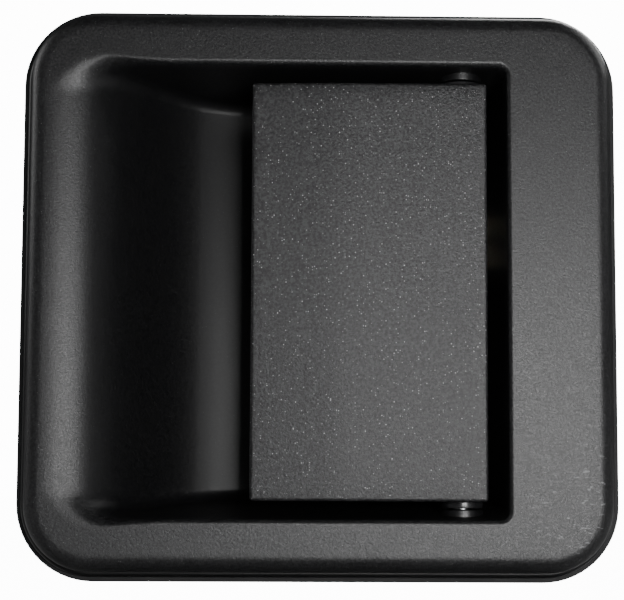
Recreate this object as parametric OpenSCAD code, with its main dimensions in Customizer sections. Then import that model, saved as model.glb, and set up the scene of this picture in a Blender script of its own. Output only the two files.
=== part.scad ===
// Flush paddle handle for a vehicle door, with its bell crank behind the pocket.
// X runs to the right along the door, Y into the door and Z up. Millimetres.
// The origin is the middle of the gasket's back face, which lies on the door skin.

/* [Bezel] */
// Width of the bezel's face
bezel_w = 114; // [104:1:137]
// Height of the bezel's face
bezel_h = 109; // [95:1:131]
// Radius of the bezel's corners
corner_r = 13; // [8:0.5:18]
// Height of the face above the door skin
face_height = 11; // [9.5:0.5:14]
// Radius of the rounded outer edge
edge_r = 3.2; // [1:0.2:4]
// Wall thickness of the moulding
wall = 2.5; // [2:0.1:3]
// How far the foot ledge stands out
ledge_w = 1.2; // [0.6:0.1:2]
// Thickness of the foot ledge
ledge_t = 2; // [1:0.2:3]
// Thickness of the stiffening ribs
rib_t = 1.8; // [1.2:0.2:2.4]

/* [Gasket] */
// Thickness of the door gasket
gasket_t = 2; // [1:0.2:3]
// Width of the gasket's band
gasket_w = 4.8; // [4:0.2:6]
// How far the gasket stands out past the ledge
gasket_overhang = 1; // [0:0.1:1.2]

/* [Recess] */
// From the bezel's left side to the start of the scoop
rim_left = 3.5; // [3:0.5:8]
// From the bezel's right side to the recess
rim_right = 20.5; // [16:0.5:24]
// From the bezel's top and bottom to the recess
rim_end = 10.1; // [9:0.1:12]
// Depth of the recess under the paddle
recess_depth = 23.4; // [20:0.2:28]
// Draft of the recess walls in degrees
draft = 9; // [5:0.5:10]

/* [Paddle] */
// Width of the paddle
paddle_w = 45.9; // [38:0.1:54]
// Gap between the paddle and the recess at the hinge side
gap_side = 4.1; // [3.8:0.1:6]
// Gap between the paddle and the recess at each end
gap_end = 3.6; // [3:0.1:5]
// Wall thickness of the paddle
paddle_wall = 3; // [2.4:0.2:3.4]
// Thickness of the grip edge
grip_t = 5; // [4:0.5:7]
// Depth of the paddle's sides
paddle_depth = 10; // [8:0.5:12]
// From the grip edge to the crease in the face
crease_from_edge = 16.6; // [10:0.2:22]
// How far the face falls from the crease to the grip edge
crease_drop = 1.1; // [0:0.1:1.6]
// How far the paddle swings out, in degrees
open_angle = 24; // [18:1:26]

/* [Hinge] */
// Radius of the hinge pin
pin_r = 2; // [1.5:0.1:2.2]
// From the paddle's side to the pin
hinge_inset = 4.4; // [4:0.1:6]
// From the bezel's face to the pin
hinge_depth = 8; // [7:0.1:9]
// Radius of the bezel's hinge ears
ear_r = 4.2; // [3.6:0.1:4.6]
// Wire radius of the paddle's return spring
spring_wire_r = 0.7; // [0.5:0.1:0.8]
// Turns of the return spring
spring_turns = 5; // [3:1:7]

/* [Arm] */
// Height of the arm above the middle of the handle
arm_z = 12.75; // [8:0.25:16]
// Thickness of the arm's steel
arm_t = 2.5; // [2:0.1:3]
// Width of the arm's blade
blade_w = 5; // [4:0.1:6]
// From the hinge pin to the tip of the arm's pad
arm_reach = 30; // [29:0.5:34]
// Width of the arm's pad
pad_w = 9; // [8:0.5:11]
// Length of the arm's pad
pad_l = 8; // [7:0.5:9]

/* [Back plate and lever] */
// Thickness of the back plate
plate_t = 1.5; // [1.2:0.1:2]
// Height of the back plate above the pocket floor
plate_stand = 2; // [1.8:0.1:3]
// Thickness of the lever
lever_t = 2.5; // [2:0.1:3]
// From the lever's pivot to the rod clip
lever_out = 24; // [20:0.5:29]
// Radius of the lever's hub
hub_r = 6.5; // [6:0.1:7]
// Radius of the lever's pivot pin
pivot_r = 3; // [2.5:0.1:3]
// Radius of the drive stud's shoulder
stud_shoulder_r = 3.5; // [3:0.1:4]
// Wire radius of the lever's spring
lever_wire_r = 0.5; // [0.4:0.05:0.6]
// Radius of the latch rod that the clip takes
rod_r = 2; // [1.5:0.1:2.5]

/* [Mounting] */
// From the bezel's side to a mounting stud
stud_inset = 9; // [8:0.5:10]
// Radius of a mounting stud
stud_r = 3; // [2.5:0.5:3]
// Length of a mounting stud behind the door skin
stud_len = 20; // [14:1:30]

/* [Fits] */
// Radial clearance of a shaft that turns
run_gap = 0.05; // [0.02:0.01:0.09]
// Radial clearance of a piece that stays put
seat_gap = 0.02; // [0.01:0.01:0.05]
// Air between faces that pass each other
air = 0.3; // [0.3:0.05:0.5]

/* [Hidden] */
$fn = 48;

// Bezel and recess
face_y = -face_height;
flange_y = -gasket_t;
recess_y = face_y + recess_depth;
floor_back_y = recess_y + wall;
recess_right = bezel_w / 2 - rim_right;
recess_half_h = bezel_h / 2 - rim_end;
draft_in = recess_depth * tan(draft);
scoop_x = -bezel_w / 2 + rim_left;
rib_foot_y = flange_y - 1.5;
side_rib_z = 0.59 * recess_half_h;

// Paddle and hinge
paddle_right = recess_right - gap_side;
paddle_left = paddle_right - paddle_w;
paddle_half_h = recess_half_h - gap_end;
paddle_inner_y = face_y + paddle_wall;
paddle_back_y = face_y + paddle_depth;
scoop_end = paddle_left + 8.5;
hinge_x = paddle_right - hinge_inset;
hinge_y = face_y + hinge_depth;
bush_flange_t = 1.3;
bush_r = pin_r + 1.2;
ear_in_z = paddle_half_h + bush_flange_t + air;
ear_out_z = recess_half_h - hinge_depth * tan(draft) + wall + 1;
pin_head_r = pin_r + 1.2;
clip_t = 0.8;
groove_depth = 0.4;

// Arm
blade_x = hinge_x - 2.4;
pad_side = 1;
pad_x = blade_x - pad_side;
pad_back_x = blade_x + blade_w + pad_side;
tip_y = hinge_y + arm_reach;
flange_t = 2;
arm_boss_h = 3;
arm_flange_y = paddle_inner_y + arm_boss_h;
flange_h = 12;
flange_x = [hinge_x - 24, hinge_x - 4];
arm_screw_x = [hinge_x - 19, hinge_x - 9];
arm_screw_z = arm_z + arm_t / 2 + flange_h / 2;
arm_screw_r = 1.5;

// Stack behind the pocket floor
plate_y = floor_back_y + plate_stand;
plate_back_y = plate_y + plate_t;
lever_y = plate_back_y + 0.8;
lever_back_y = lever_y + lever_t;
bush_end_y = lever_back_y + 5.6;
washer_y = bush_end_y + air;
washer_t = 0.8;
lever_clip_y = washer_y + washer_t + 0.1;
pivot_end_y = lever_clip_y + clip_t + 1.2;
stud_end_y = tip_y + 1.5;
stud_x = pad_x - air - stud_shoulder_r;
pivot_z = arm_z - arm_reach;
rod_clip_x = stud_x - lever_out;
lever_bush_r = pivot_r + 1;

// Window for the arm, wide enough for its pad at the end of the travel
pad_side_x = pad_x - hinge_x;
pad_at_plate = (plate_back_y - hinge_y - pad_side_x * sin(open_angle)) / cos(open_angle);
window_x = [hinge_x + pad_side_x * cos(open_angle) - pad_at_plate * sin(open_angle) - 1.2,
    recess_right - draft_in - 0.6];
window_half = pad_w / 2 + 0.75;

// Back plate outline and its screws
plate_x = [rod_clip_x - 9, window_x[1] + 7];
plate_z = [pivot_z - 24, arm_z + 19];
plate_screw_r = 2;
plate_screw_head_r = 3.5;
plate_screw_len = 7;
plate_screw_at = [for (x = [plate_x[0] + 5, plate_x[1] - 10], z = [plate_z[0] + 5, plate_z[1] - 5]) [x, z]];
plate_boss_r = 4.2;

// Springs
spring_r = hinge_x - (blade_x - spring_wire_r - 0.1);
spring_pitch = 2 * spring_wire_r + 0.1;
spring_top_z = arm_z - arm_t / 2 - spring_wire_r - 0.4;
spring_low_z = spring_top_z - (spring_turns + 0.5) * spring_pitch;
lever_leg_up = 14;
lever_leg_down = 12.5;
lever_half_w = [hub_r - 1.5, stud_shoulder_r - 0.6];
drive_rivet_r = 1.5;
lever_edge = lever_half_w[0] + (lever_half_w[1] - lever_half_w[0]) * lever_leg_up / arm_reach;
lever_spring_r = lever_edge + lever_wire_r + 0.1;
lever_turns = 4;
lever_spring_y = lever_back_y + air + lever_wire_r;
lever_pitch = (bush_end_y - lever_spring_y - lever_wire_r) / lever_turns;

// Mounting studs
stud_spacing = bezel_w - 2 * stud_inset;
stud_root_r = stud_r + 0.5;
stud_boss_r = stud_r + 2.5;
stud_root_y = face_y + wall + 2.3;
stud_boss_y = -0.5;

// ---- shapes used more than once ----

// A rounded rectangle about the origin
module rounded_rect(w, h, r) {
    square([w - 2 * r, h], center = true);
    square([w, h - 2 * r], center = true);
    for (x = [-1, 1], y = [-1, 1])
        translate([x * (w / 2 - r), y * (h / 2 - r)]) circle(r);
}

// An outline drawn as (x, z), standing from y0 to y1
module slab_y(y0, y1) {
    translate([0, y1, 0]) rotate([90, 0, 0]) linear_extrude(y1 - y0) children();
}

// An outline drawn as (y, z), running from x0 to x1
module slab_x(x0, x1) {
    translate([x0, 0, 0]) rotate([90, 0, 90]) linear_extrude(x1 - x0) children();
}

// An outline drawn as (x, y), standing from z0 to z1
module slab_z(z0, z1) {
    translate([0, 0, z0]) linear_extrude(z1 - z0) children();
}

module rod_y(x, z, y0, y1, r) {
    translate([x, y0, z]) rotate([-90, 0, 0]) cylinder(r = r, h = y1 - y0);
}

module rod_z(x, y, z0, z1, r) {
    translate([x, y, z0]) cylinder(r = r, h = z1 - z0);
}

module rod_x(y, z, x0, x1, r) {
    translate([x0, y, z]) rotate([0, 90, 0]) cylinder(r = r, h = x1 - x0);
}

// A flat E-shaped clip about the Z axis, open towards +X
module e_clip(shaft_r, t) {
    difference() {
        cylinder(r = shaft_r + 1.6, h = t);
        translate([0, 0, -1]) cylinder(r = shaft_r - groove_depth + seat_gap, h = t + 2);
        translate([0, -(shaft_r - groove_depth) * 0.8, -1])
            cube([2 * shaft_r + 4, (shaft_r - groove_depth) * 1.6, t + 2]);
        for (a = [120, 240]) rotate(a) translate([shaft_r + 0.2, 0, -1]) cylinder(r = 0.7, h = t + 2);
    }
}

function unit(v) = v / norm(v);
function ring_side(d) = unit(cross([0, 0, 1], d));
function heading(p, i) = unit(p[min(i + 1, len(p) - 1)] - p[max(min(i, len(p)) - 1, 0)]);

function turned(u, d) = unit(u - (u * d) * d);

// Round wire along a list of points: each ring's side is carried on from the ring before it
module wire(p, r, sides = 8) {
    side = [for (i = 0, u = ring_side(heading(p, 0)); i < len(p); i = i + 1, u = turned(u, heading(p, i))) u];
    points = [for (i = [0:len(p) - 1])
        let (u = side[i], v = cross(heading(p, i), u))
        for (k = [0:sides - 1]) p[i] + r * (cos(360 * k / sides) * u + sin(360 * k / sides) * v)];
    skin = [for (i = [0:len(p) - 2], k = [0:sides - 1])
        let (a = i * sides + k, b = i * sides + (k + 1) % sides)
        each [[a, a + sides, b + sides], [a, b + sides, b]]];
    first = [for (k = [0:sides - 1]) k];
    last = [for (k = [sides - 1:-1:0]) (len(p) - 1) * sides + k];
    polyhedron(points, concat(skin, [first], [last]), convexity = 10);
}

// ---- bezel ----

// Section of the bezel's edge: distance out from a corner's centre, then Y
function edge_section() = concat(
    [[corner_r + ledge_w, flange_y], [corner_r + ledge_w, flange_y - ledge_t], [corner_r, flange_y - ledge_t]],
    [for (a = [0:18:90]) [corner_r - edge_r + edge_r * cos(a), face_y + edge_r - edge_r * sin(a)]]);

// The same section on both sides of a slab that is half a width wide
function slab_section(half) = let (s = edge_section(), n = len(s)) concat(
    [for (p = s) [p[0] + half, p[1]]],
    [for (i = [n - 1:-1:0]) [-s[i][0] - half, s[i][1]]]);

function swapped(points) = [for (p = points) [p[1], p[0]]];

// Solid block of the bezel with its rounded edge and its foot ledge
module bezel_block() {
    cx = bezel_w / 2 - corner_r;
    cz = bezel_h / 2 - corner_r;
    slab_z(-cz, cz) polygon(slab_section(cx));
    slab_x(-cx, cx) polygon(swapped(slab_section(cz)));
    for (x = [-cx, cx], z = [-cz, cz])
        translate([x, 0, z]) rotate([-90, 0, 0])
            rotate_extrude() polygon(concat(edge_section(), [[0, face_y], [0, flange_y]]));
}

// Share of the scoop's depth at t, from 0 at the lip to 1 under the paddle
function slow_share(t) = 1 - pow(1 - t, 3) * (1 + 3 * t);
function late_share(t) = 1 - pow(1 - t, 8) * (1 + 8 * t + 36 * pow(t, 2) + 120 * pow(t, 3) + 330 * pow(t, 4));
function scoop_share(t) = (slow_share(t) + late_share(t)) / 2;
function scoop_point(t) = [scoop_x + (scoop_end - scoop_x) * t, face_y + recess_depth * scoop_share(t)];

// Section of the recess in X and Y, open by "over" above the face
module recess_plan(over) {
    polygon(concat([[scoop_x, face_y - over]], [for (i = [0:20]) scoop_point(i / 20)],
        [[recess_right - draft_in, recess_y], [recess_right + over * tan(draft), face_y - over]]));
}

// Section of the recess in Y and Z
module recess_elevation(over) {
    top = recess_half_h + over * tan(draft);
    low = recess_half_h - draft_in;
    polygon([[face_y - over, -top], [recess_y, -low], [recess_y, low], [face_y - over, top]]);
}

module recess_cavity() {
    intersection() {
        slab_z(-bezel_h, bezel_h) recess_plan(2);
        slab_x(-bezel_w, bezel_w) recess_elevation(2);
    }
}

module recess_shell() {
    intersection() {
        slab_z(-bezel_h, bezel_h) offset(delta = wall) recess_plan(0);
        slab_x(-bezel_w, bezel_w) offset(delta = wall) recess_elevation(0);
        translate([scoop_x, face_y, -bezel_h]) cube([bezel_w, 2 * recess_depth, 2 * bezel_h]);
    }
}

module bezel_hollow() {
    inset = 2 * wall;
    slab_y(face_y + wall, 1) rounded_rect(bezel_w - inset, bezel_h - inset, corner_r - wall);
}

// Ribs between the recess and the bezel's sides, sunk by a millimetre into what they join
module bezel_ribs() {
    from_y = face_y + 1;
    for (x = [scoop_x + 22, paddle_left + 9.5, hinge_x - 14], z = [-1, 1])
        translate([x, from_y, z > 0 ? recess_half_h - 2 : -bezel_h / 2 + 1])
            cube([rib_t, rib_foot_y - from_y, rim_end + 1]);
    for (z = [-1, 1])
        translate([recess_right - 1, from_y, z * side_rib_z - rib_t / 2])
            cube([rim_right - 0.5, rib_foot_y - from_y, rib_t]);
}

module bezel() {
    color("#26272a") difference() {
        union() {
            difference() {
                union() {
                    difference() {
                        bezel_block();
                        bezel_hollow();
                    }
                    recess_shell();
                    bezel_ribs();
                    for (x = [-1, 1]) rod_y(x * stud_spacing / 2, 0, face_y + 1, stud_boss_y, stud_boss_r);
                    for (p = plate_screw_at) rod_y(p[0], p[1], face_y + 12, plate_y, plate_boss_r);
                }
                recess_cavity();
            }
            for (z = [-ear_out_z, ear_in_z]) rod_z(hinge_x, hinge_y, z, z + ear_out_z - ear_in_z, ear_r);
        }
        rod_z(hinge_x, hinge_y, -bezel_h, bezel_h, pin_r + seat_gap);
        for (x = [-1, 1]) rod_y(x * stud_spacing / 2, 0, stud_root_y, 1, stud_root_r + seat_gap);
        for (p = plate_screw_at)
            rod_y(p[0], p[1], plate_y - plate_screw_len + plate_t + 1.5, plate_y + 1, plate_screw_r + seat_gap);
        translate([window_x[0], recess_y - 1, arm_z - window_half])
            cube([window_x[1] - window_x[0], wall + plate_stand + 2, 2 * window_half]);
        rod_y(hinge_x + spring_r, spring_low_z, recess_y - 1, floor_back_y + 1, spring_wire_r + air);
    }
}

module door_gasket() {
    grow = 2 * (ledge_w + gasket_overhang);
    r = corner_r + ledge_w + gasket_overhang;
    color("#1b1b1c") slab_y(-gasket_t, 0) difference() {
        rounded_rect(bezel_w + grow, bezel_h + grow, r);
        rounded_rect(bezel_w + grow - 2 * gasket_w, bezel_h + grow - 2 * gasket_w, r - gasket_w);
    }
}

// Each stud has a thicker root that is pressed into its boss
module mounting_studs() {
    color("#c9ccd0") for (x = [-1, 1]) {
        rod_y(x * stud_spacing / 2, 0, stud_root_y, stud_boss_y, stud_root_r);
        rod_y(x * stud_spacing / 2, 0, stud_boss_y, stud_len - 1, stud_r);
        translate([x * stud_spacing / 2, stud_len - 1, 0]) rotate([-90, 0, 0])
            cylinder(r1 = stud_r, r2 = stud_r - 0.8, h = 1);
    }
}

// ---- hinge ----

module hinge_pin() {
    low_z = -ear_out_z - 0.1 - clip_t - 1;
    color("#b4b7bb") difference() {
        union() {
            rod_z(hinge_x, hinge_y, low_z, ear_out_z, pin_r);
            rod_z(hinge_x, hinge_y, ear_out_z, ear_out_z + 1.2, pin_head_r);
        }
        translate([hinge_x, hinge_y, -ear_out_z - 0.1 - clip_t]) difference() {
            cylinder(r = pin_r + 1, h = clip_t);
            cylinder(r = pin_r - groove_depth, h = clip_t);
        }
    }
}

module hinge_clip() {
    color("#3c3d40") translate([hinge_x, hinge_y, -ear_out_z - 0.1 - clip_t + 0.03])
        e_clip(pin_r, clip_t - 0.06);
}

module hinge_bushes() {
    color("#2a2a2c") for (side = [-1, 1]) difference() {
        union() {
            rod_z(hinge_x, hinge_y, side > 0 ? paddle_half_h - paddle_wall : -paddle_half_h,
                side > 0 ? paddle_half_h : -paddle_half_h + paddle_wall, bush_r);
            rod_z(hinge_x, hinge_y, side > 0 ? paddle_half_h : -paddle_half_h - bush_flange_t,
                side > 0 ? paddle_half_h + bush_flange_t : -paddle_half_h, ear_r);
        }
        rod_z(hinge_x, hinge_y, -bezel_h, bezel_h, pin_r + run_gap);
    }
}

// Coil round the pin: one leg through the pocket floor, the other hooked over the arm
module return_spring() {
    steps = 24;
    turns = spring_turns + 0.5;
    n = turns * steps;
    leg_x = hinge_x + spring_r;
    hook_y = hinge_y + 9;
    coil = [for (i = [0:n]) let (a = -360 * i / steps)
        [hinge_x + spring_r * cos(a), hinge_y + spring_r * sin(a), spring_low_z + spring_pitch * i / steps]];
    hook_x = hinge_x - spring_r;
    path = concat([[leg_x, recess_y + 1.5, spring_low_z], [leg_x, hinge_y + 4, spring_low_z]], coil,
        [[hook_x, hook_y - 1, spring_top_z], [hook_x, hook_y - 0.3, spring_top_z + 0.3],
        [hook_x, hook_y, spring_top_z + 1], [hook_x, hook_y, arm_z + arm_t / 2 + 1]]);
    color("#8d9095") wire(path, spring_wire_r);
}

// ---- paddle ----

// Section of the paddle in X and Y
module paddle_outline() {
    chamfer = 0.6;
    polygon([[paddle_right - chamfer, face_y], [paddle_right, face_y + chamfer],
        [paddle_right, hinge_y], [hinge_x + 1, paddle_back_y],
        [paddle_left + chamfer, paddle_back_y], [paddle_left, paddle_back_y - chamfer],
        [paddle_left, face_y + crease_drop + chamfer],
        [paddle_left + chamfer, face_y + crease_drop - chamfer * crease_drop / crease_from_edge],
        [paddle_left + crease_from_edge, face_y]]);
}

// Hollow of the paddle, open at the back and above a shallow rim at the hinge side
module paddle_inside() {
    open_y = hinge_y + 20;
    polygon([[paddle_right - 2, paddle_inner_y], [paddle_right - 2, paddle_inner_y + 1],
        [paddle_right + 1, paddle_inner_y + 1], [paddle_right + 1, open_y],
        [paddle_left + grip_t, open_y], [paddle_left + grip_t, paddle_inner_y + crease_drop * 0.7],
        [paddle_left + crease_from_edge, paddle_inner_y]]);
}

// The upper rib stands halfway between the arm's flange and the end wall
module paddle() {
    inside_z = paddle_half_h - paddle_wall;
    top_rib_z = (arm_z + arm_t / 2 + flange_h + inside_z) / 2;
    color("#2b2c2f") difference() {
        union() {
            difference() {
                slab_z(-paddle_half_h, paddle_half_h) paddle_outline();
                slab_z(-inside_z, inside_z) paddle_inside();
            }
            for (side = [-1, 1]) rod_z(hinge_x, hinge_y, side > 0 ? inside_z : -paddle_half_h,
                side > 0 ? paddle_half_h : -inside_z, ear_r);
            for (z = [-0.62 * paddle_half_h, -0.2 * paddle_half_h, top_rib_z])
                translate([paddle_left + grip_t - 1, paddle_inner_y - 1, z - rib_t / 2])
                    cube([hinge_x - paddle_left - grip_t - 6, 5, rib_t]);
            for (x = arm_screw_x) rod_y(x, arm_screw_z, paddle_inner_y - 1, arm_flange_y, 3.2);
        }
        rod_z(hinge_x, hinge_y, -bezel_h, bezel_h, bush_r + seat_gap);
        for (x = arm_screw_x) rod_y(x, arm_screw_z, face_y + 1.5, arm_flange_y + 1, arm_screw_r + seat_gap);
    }
}

module paddle_arm() {
    low = arm_z - arm_t / 2;
    top = arm_z + arm_t / 2;
    flange_back_y = arm_flange_y + flange_t;
    color("#a9adb2") difference() {
        union() {
            slab_z(low, top) union() {
                translate([hinge_x, hinge_y]) circle(ear_r + 0.2);
                translate([blade_x, hinge_y]) square([blade_w, arm_reach - pad_side]);
                polygon([[flange_x[0], arm_flange_y], [hinge_x, arm_flange_y], [hinge_x, hinge_y + 4],
                    [blade_x, hinge_y + 5.5], [hinge_x - 7, hinge_y + 3], [flange_x[0], flange_back_y]]);
            }
            slab_y(arm_flange_y, flange_back_y)
                translate([flange_x[0], low]) square([flange_x[1] - flange_x[0], flange_h + arm_t]);
        }
        rod_z(hinge_x, hinge_y, -bezel_h, bezel_h, pin_r + run_gap);
        for (x = arm_screw_x) rod_y(x, arm_screw_z, arm_flange_y - 1, flange_back_y + 1, arm_screw_r + 0.2);
    }
}

module arm_screws() {
    head_y = arm_flange_y + flange_t;
    color("#55585c") for (x = arm_screw_x) difference() {
        union() {
            rod_y(x, arm_screw_z, face_y + 2, head_y, arm_screw_r);
            rod_y(x, arm_screw_z, head_y, head_y + 1.8, 2.8);
        }
        translate([x, head_y + 0.8, arm_screw_z]) cross_recess(1.6);
    }
}

// Cross recess in a screw head, sunk from its mouth towards -Y
module cross_recess(half) {
    for (a = [0, 90]) rotate([0, a, 0]) translate([-half, 0, -0.35]) cube([2 * half, 5, 0.7]);
}

module arm_pad() {
    half = pad_w / 2;
    color("#e4e0d4") difference() {
        slab_y(tip_y - pad_l, tip_y)
            translate([(pad_x + pad_back_x) / 2, arm_z]) rounded_rect(pad_back_x - pad_x, pad_w, 1);
        translate([blade_x - seat_gap, tip_y - pad_l - 1, arm_z - arm_t / 2 - seat_gap])
            cube([blade_w + 2 * seat_gap, pad_l + 1 - pad_side + seat_gap, arm_t + 2 * seat_gap]);
    }
}

// ---- back plate and lever ----

module back_plate() {
    notch_x = rod_clip_x + 8;
    tab_x = pad_back_x + air + 1.5;
    tab_half = 4.5;
    spring_tab_x = stud_x - lever_spring_r + lever_wire_r + 0.2;
    color("#c4b277") difference() {
        union() {
            slab_y(plate_y, plate_back_y) difference() {
                translate([(plate_x[0] + plate_x[1]) / 2, (plate_z[0] + plate_z[1]) / 2])
                    rounded_rect(plate_x[1] - plate_x[0], plate_z[1] - plate_z[0], 4);
                translate([plate_x[0] - 1, pivot_z - 16]) square([notch_x - plate_x[0] + 1, 27]);
                translate([window_x[0], arm_z - window_half])
                    square([window_x[1] - window_x[0], 2 * window_half]);
            }
            translate([tab_x, plate_y, arm_z - tab_half])
                cube([plate_t, tip_y - plate_y - 1, 2 * tab_half]);
            translate([spring_tab_x, plate_y, pivot_z - lever_leg_down - 1])
                cube([plate_t, bush_end_y - plate_y, 4]);
        }
        rod_y(stud_x, pivot_z, plate_y - 1, plate_back_y + 1, pivot_r + seat_gap);
        for (p = plate_screw_at) rod_y(p[0], p[1], plate_y - 1, plate_back_y + 1, plate_screw_r + 0.3);
        rod_x(tip_y - pad_l / 2, arm_z, tab_x - 1, tab_x + plate_t + 1, 1.5);
    }
}

module back_plate_screws() {
    color("#55585c") for (p = plate_screw_at) difference() {
        union() {
            rod_y(p[0], p[1], plate_back_y - plate_screw_len + 2, plate_back_y, plate_screw_r);
            rod_y(p[0], p[1], plate_back_y, plate_back_y + 2.2, plate_screw_head_r);
        }
        translate([p[0], plate_back_y + 1, p[1]]) cross_recess(2.2);
    }
}

// Rubber button: a disc towards the arm, a stem through the tab and a bead behind it
module arm_bumper() {
    y = tip_y - pad_l / 2;
    x = pad_back_x + air;
    color("#1d1d1e") {
        rod_x(y, arm_z, x, x + 1.5, 3.2);
        rod_x(y, arm_z, x, x + 1.5 + plate_t + 1.4, 1.5 - seat_gap);
        rod_x(y, arm_z, x + 1.5 + plate_t, x + 1.5 + plate_t + 1.4, 2.3);
    }
}

module lever_pivot() {
    color("#b4b7bb") difference() {
        union() {
            rod_y(stud_x, pivot_z, plate_y - 1.2, plate_y, pivot_r + 2);
            rod_y(stud_x, pivot_z, plate_y, pivot_end_y, pivot_r);
        }
        translate([stud_x, lever_clip_y, pivot_z]) rotate([-90, 0, 0]) difference() {
            cylinder(r = pivot_r + 1, h = clip_t);
            cylinder(r = pivot_r - groove_depth, h = clip_t);
        }
    }
}

// A lever limb from the pivot to an end, wider at the pivot
module limb(from, to, half_from, half_to) {
    d = unit(to - from);
    n = [-d[1], d[0]];
    polygon([from + half_from * n, from - half_from * n, to - half_to * n, to + half_to * n]);
    translate(to) circle(half_to);
}

module release_lever() {
    pivot = [stud_x, pivot_z];
    color("#b9a66c") difference() {
        slab_y(lever_y, lever_back_y) {
            translate(pivot) circle(hub_r);
            limb(pivot, [stud_x, arm_z], lever_half_w[0], lever_half_w[1]);
            limb(pivot, [rod_clip_x, pivot_z], 5.2, 4.6);
        }
        rod_y(stud_x, pivot_z, lever_y - 1, lever_back_y + 1, lever_bush_r + seat_gap);
        rod_y(stud_x, arm_z, lever_y - 1, lever_back_y + 1, drive_rivet_r + seat_gap);
        rod_y(rod_clip_x, pivot_z, lever_y - 1, lever_back_y + 1, 2.5 + run_gap);
    }
}

module drive_stud() {
    color("#c9ccd0") {
        rod_y(stud_x, arm_z, lever_y - 0.5, lever_y, drive_rivet_r + 0.9);
        rod_y(stud_x, arm_z, lever_y, lever_back_y, drive_rivet_r);
        rod_y(stud_x, arm_z, lever_back_y, stud_end_y, stud_shoulder_r);
    }
}

module lever_bush() {
    color("#2a2a2c") difference() {
        union() {
            rod_y(stud_x, pivot_z, lever_y - 0.5, lever_y, hub_r - 0.5);
            rod_y(stud_x, pivot_z, lever_y, bush_end_y, lever_bush_r);
        }
        rod_y(stud_x, pivot_z, lever_y - 2, bush_end_y + 1, pivot_r + run_gap);
    }
}

// Coil round the bush: the upper leg hooks over the lever, the lower leg rests on the plate's tab
module lever_spring() {
    steps = 24;
    x = stud_x - lever_spring_r;
    y = lever_spring_y;
    end_y = y + lever_turns * lever_pitch;
    up_z = pivot_z + lever_leg_up;
    coil = [for (i = [0:lever_turns * steps]) let (a = 180 + 360 * i / steps)
        [stud_x + lever_spring_r * cos(a), y + lever_pitch * i / steps, pivot_z + lever_spring_r * sin(a)]];
    path = concat([[x, lever_y + 0.4, up_z], [x, y - 1, up_z], [x, y - 0.3, up_z - 0.3], [x, y, up_z - 1],
        [x, y, pivot_z + 3]], coil, [[x, end_y, pivot_z - 3], [x, end_y, pivot_z - lever_leg_down]]);
    color("#8d9095") wire(path, lever_wire_r);
}

module lever_washer() {
    color("#c9ccd0") difference() {
        rod_y(stud_x, pivot_z, washer_y, washer_y + washer_t, pivot_r + 3);
        rod_y(stud_x, pivot_z, washer_y - 1, washer_y + washer_t + 1, pivot_r + seat_gap);
    }
}

module lever_clip() {
    color("#3c3d40") translate([stud_x, lever_clip_y + 0.03, pivot_z]) rotate([-90, 0, 0])
        e_clip(pivot_r, clip_t - 0.06);
}

// Snap clip: it turns in the lever's end and grips the latch rod from behind
module rod_clip() {
    y0 = lever_back_y + air;
    rod_y_mid = y0 + rod_r + 2;
    y1 = rod_y_mid + rod_r + 1.4;
    top = 4.5;
    low = 6.5;
    color("#efe9d6") difference() {
        union() {
            slab_y(y0, y1) translate([rod_clip_x, pivot_z + (top - low) / 2])
                rounded_rect(2 * rod_r + 5, top + low, 1.2);
            rod_y(rod_clip_x, pivot_z, lever_y - air, y0, 2.5);
            rod_y(rod_clip_x, pivot_z, lever_y - air - 1, lever_y - air, 3.3);
        }
        rod_z(rod_clip_x, rod_y_mid, pivot_z - 20, pivot_z + 20, rod_r + run_gap);
        translate([rod_clip_x - 0.6 * rod_r, rod_y_mid, pivot_z - 20]) cube([1.2 * rod_r, 10, 40]);
        translate([rod_clip_x - 0.5, lever_y - air - 2, pivot_z - 5]) cube([1, 3, 10]);
    }
}

bezel();
door_gasket();
mounting_studs();
hinge_pin();
hinge_clip();
paddle();
hinge_bushes();
paddle_arm();
arm_screws();
arm_pad();
return_spring();
back_plate();
back_plate_screws();
arm_bumper();
lever_pivot();
release_lever();
drive_stud();
lever_bush();
lever_spring();
lever_washer();
lever_clip();
rod_clip();
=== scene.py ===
"""Flush paddle door handle: moulded bezel, hinged paddle, bell crank and springs, on a pale studio floor.

Shapes are worked out in millimetres in the frame of the handle: X to the right along the door, Y into the
door, Z up. They are scaled to metres when they become Blender meshes.
"""

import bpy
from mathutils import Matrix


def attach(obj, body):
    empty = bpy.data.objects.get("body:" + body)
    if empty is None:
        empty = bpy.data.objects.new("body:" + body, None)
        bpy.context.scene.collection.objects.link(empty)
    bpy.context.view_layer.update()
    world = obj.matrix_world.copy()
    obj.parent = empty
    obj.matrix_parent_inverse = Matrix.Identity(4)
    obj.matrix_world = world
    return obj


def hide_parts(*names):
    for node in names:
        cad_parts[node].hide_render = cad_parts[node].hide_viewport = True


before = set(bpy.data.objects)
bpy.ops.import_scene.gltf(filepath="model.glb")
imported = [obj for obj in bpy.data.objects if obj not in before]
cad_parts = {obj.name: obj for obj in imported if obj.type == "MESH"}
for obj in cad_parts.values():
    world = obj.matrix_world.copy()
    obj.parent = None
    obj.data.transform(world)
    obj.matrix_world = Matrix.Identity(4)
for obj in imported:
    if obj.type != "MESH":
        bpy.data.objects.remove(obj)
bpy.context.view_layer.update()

import logging
import math
from dataclasses import dataclass, field
from enum import Enum

import bmesh
import bpy
import numpy as np
from mathutils import Matrix, Vector

LOG = logging.getLogger("door_handle")
MM = 0.001
WELD_DISTANCE = 1e-7
CAD_WELD_DISTANCE = 0.002
BROKEN_EDGE_ANGLE = 40
CAD_SMOOTH_ANGLE = 35
CAMERA_WHITE = 14.0


class Axis(Enum):
    """Direction that a turned piece runs along."""

    X = 0
    Y = 1
    Z = 2


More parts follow.
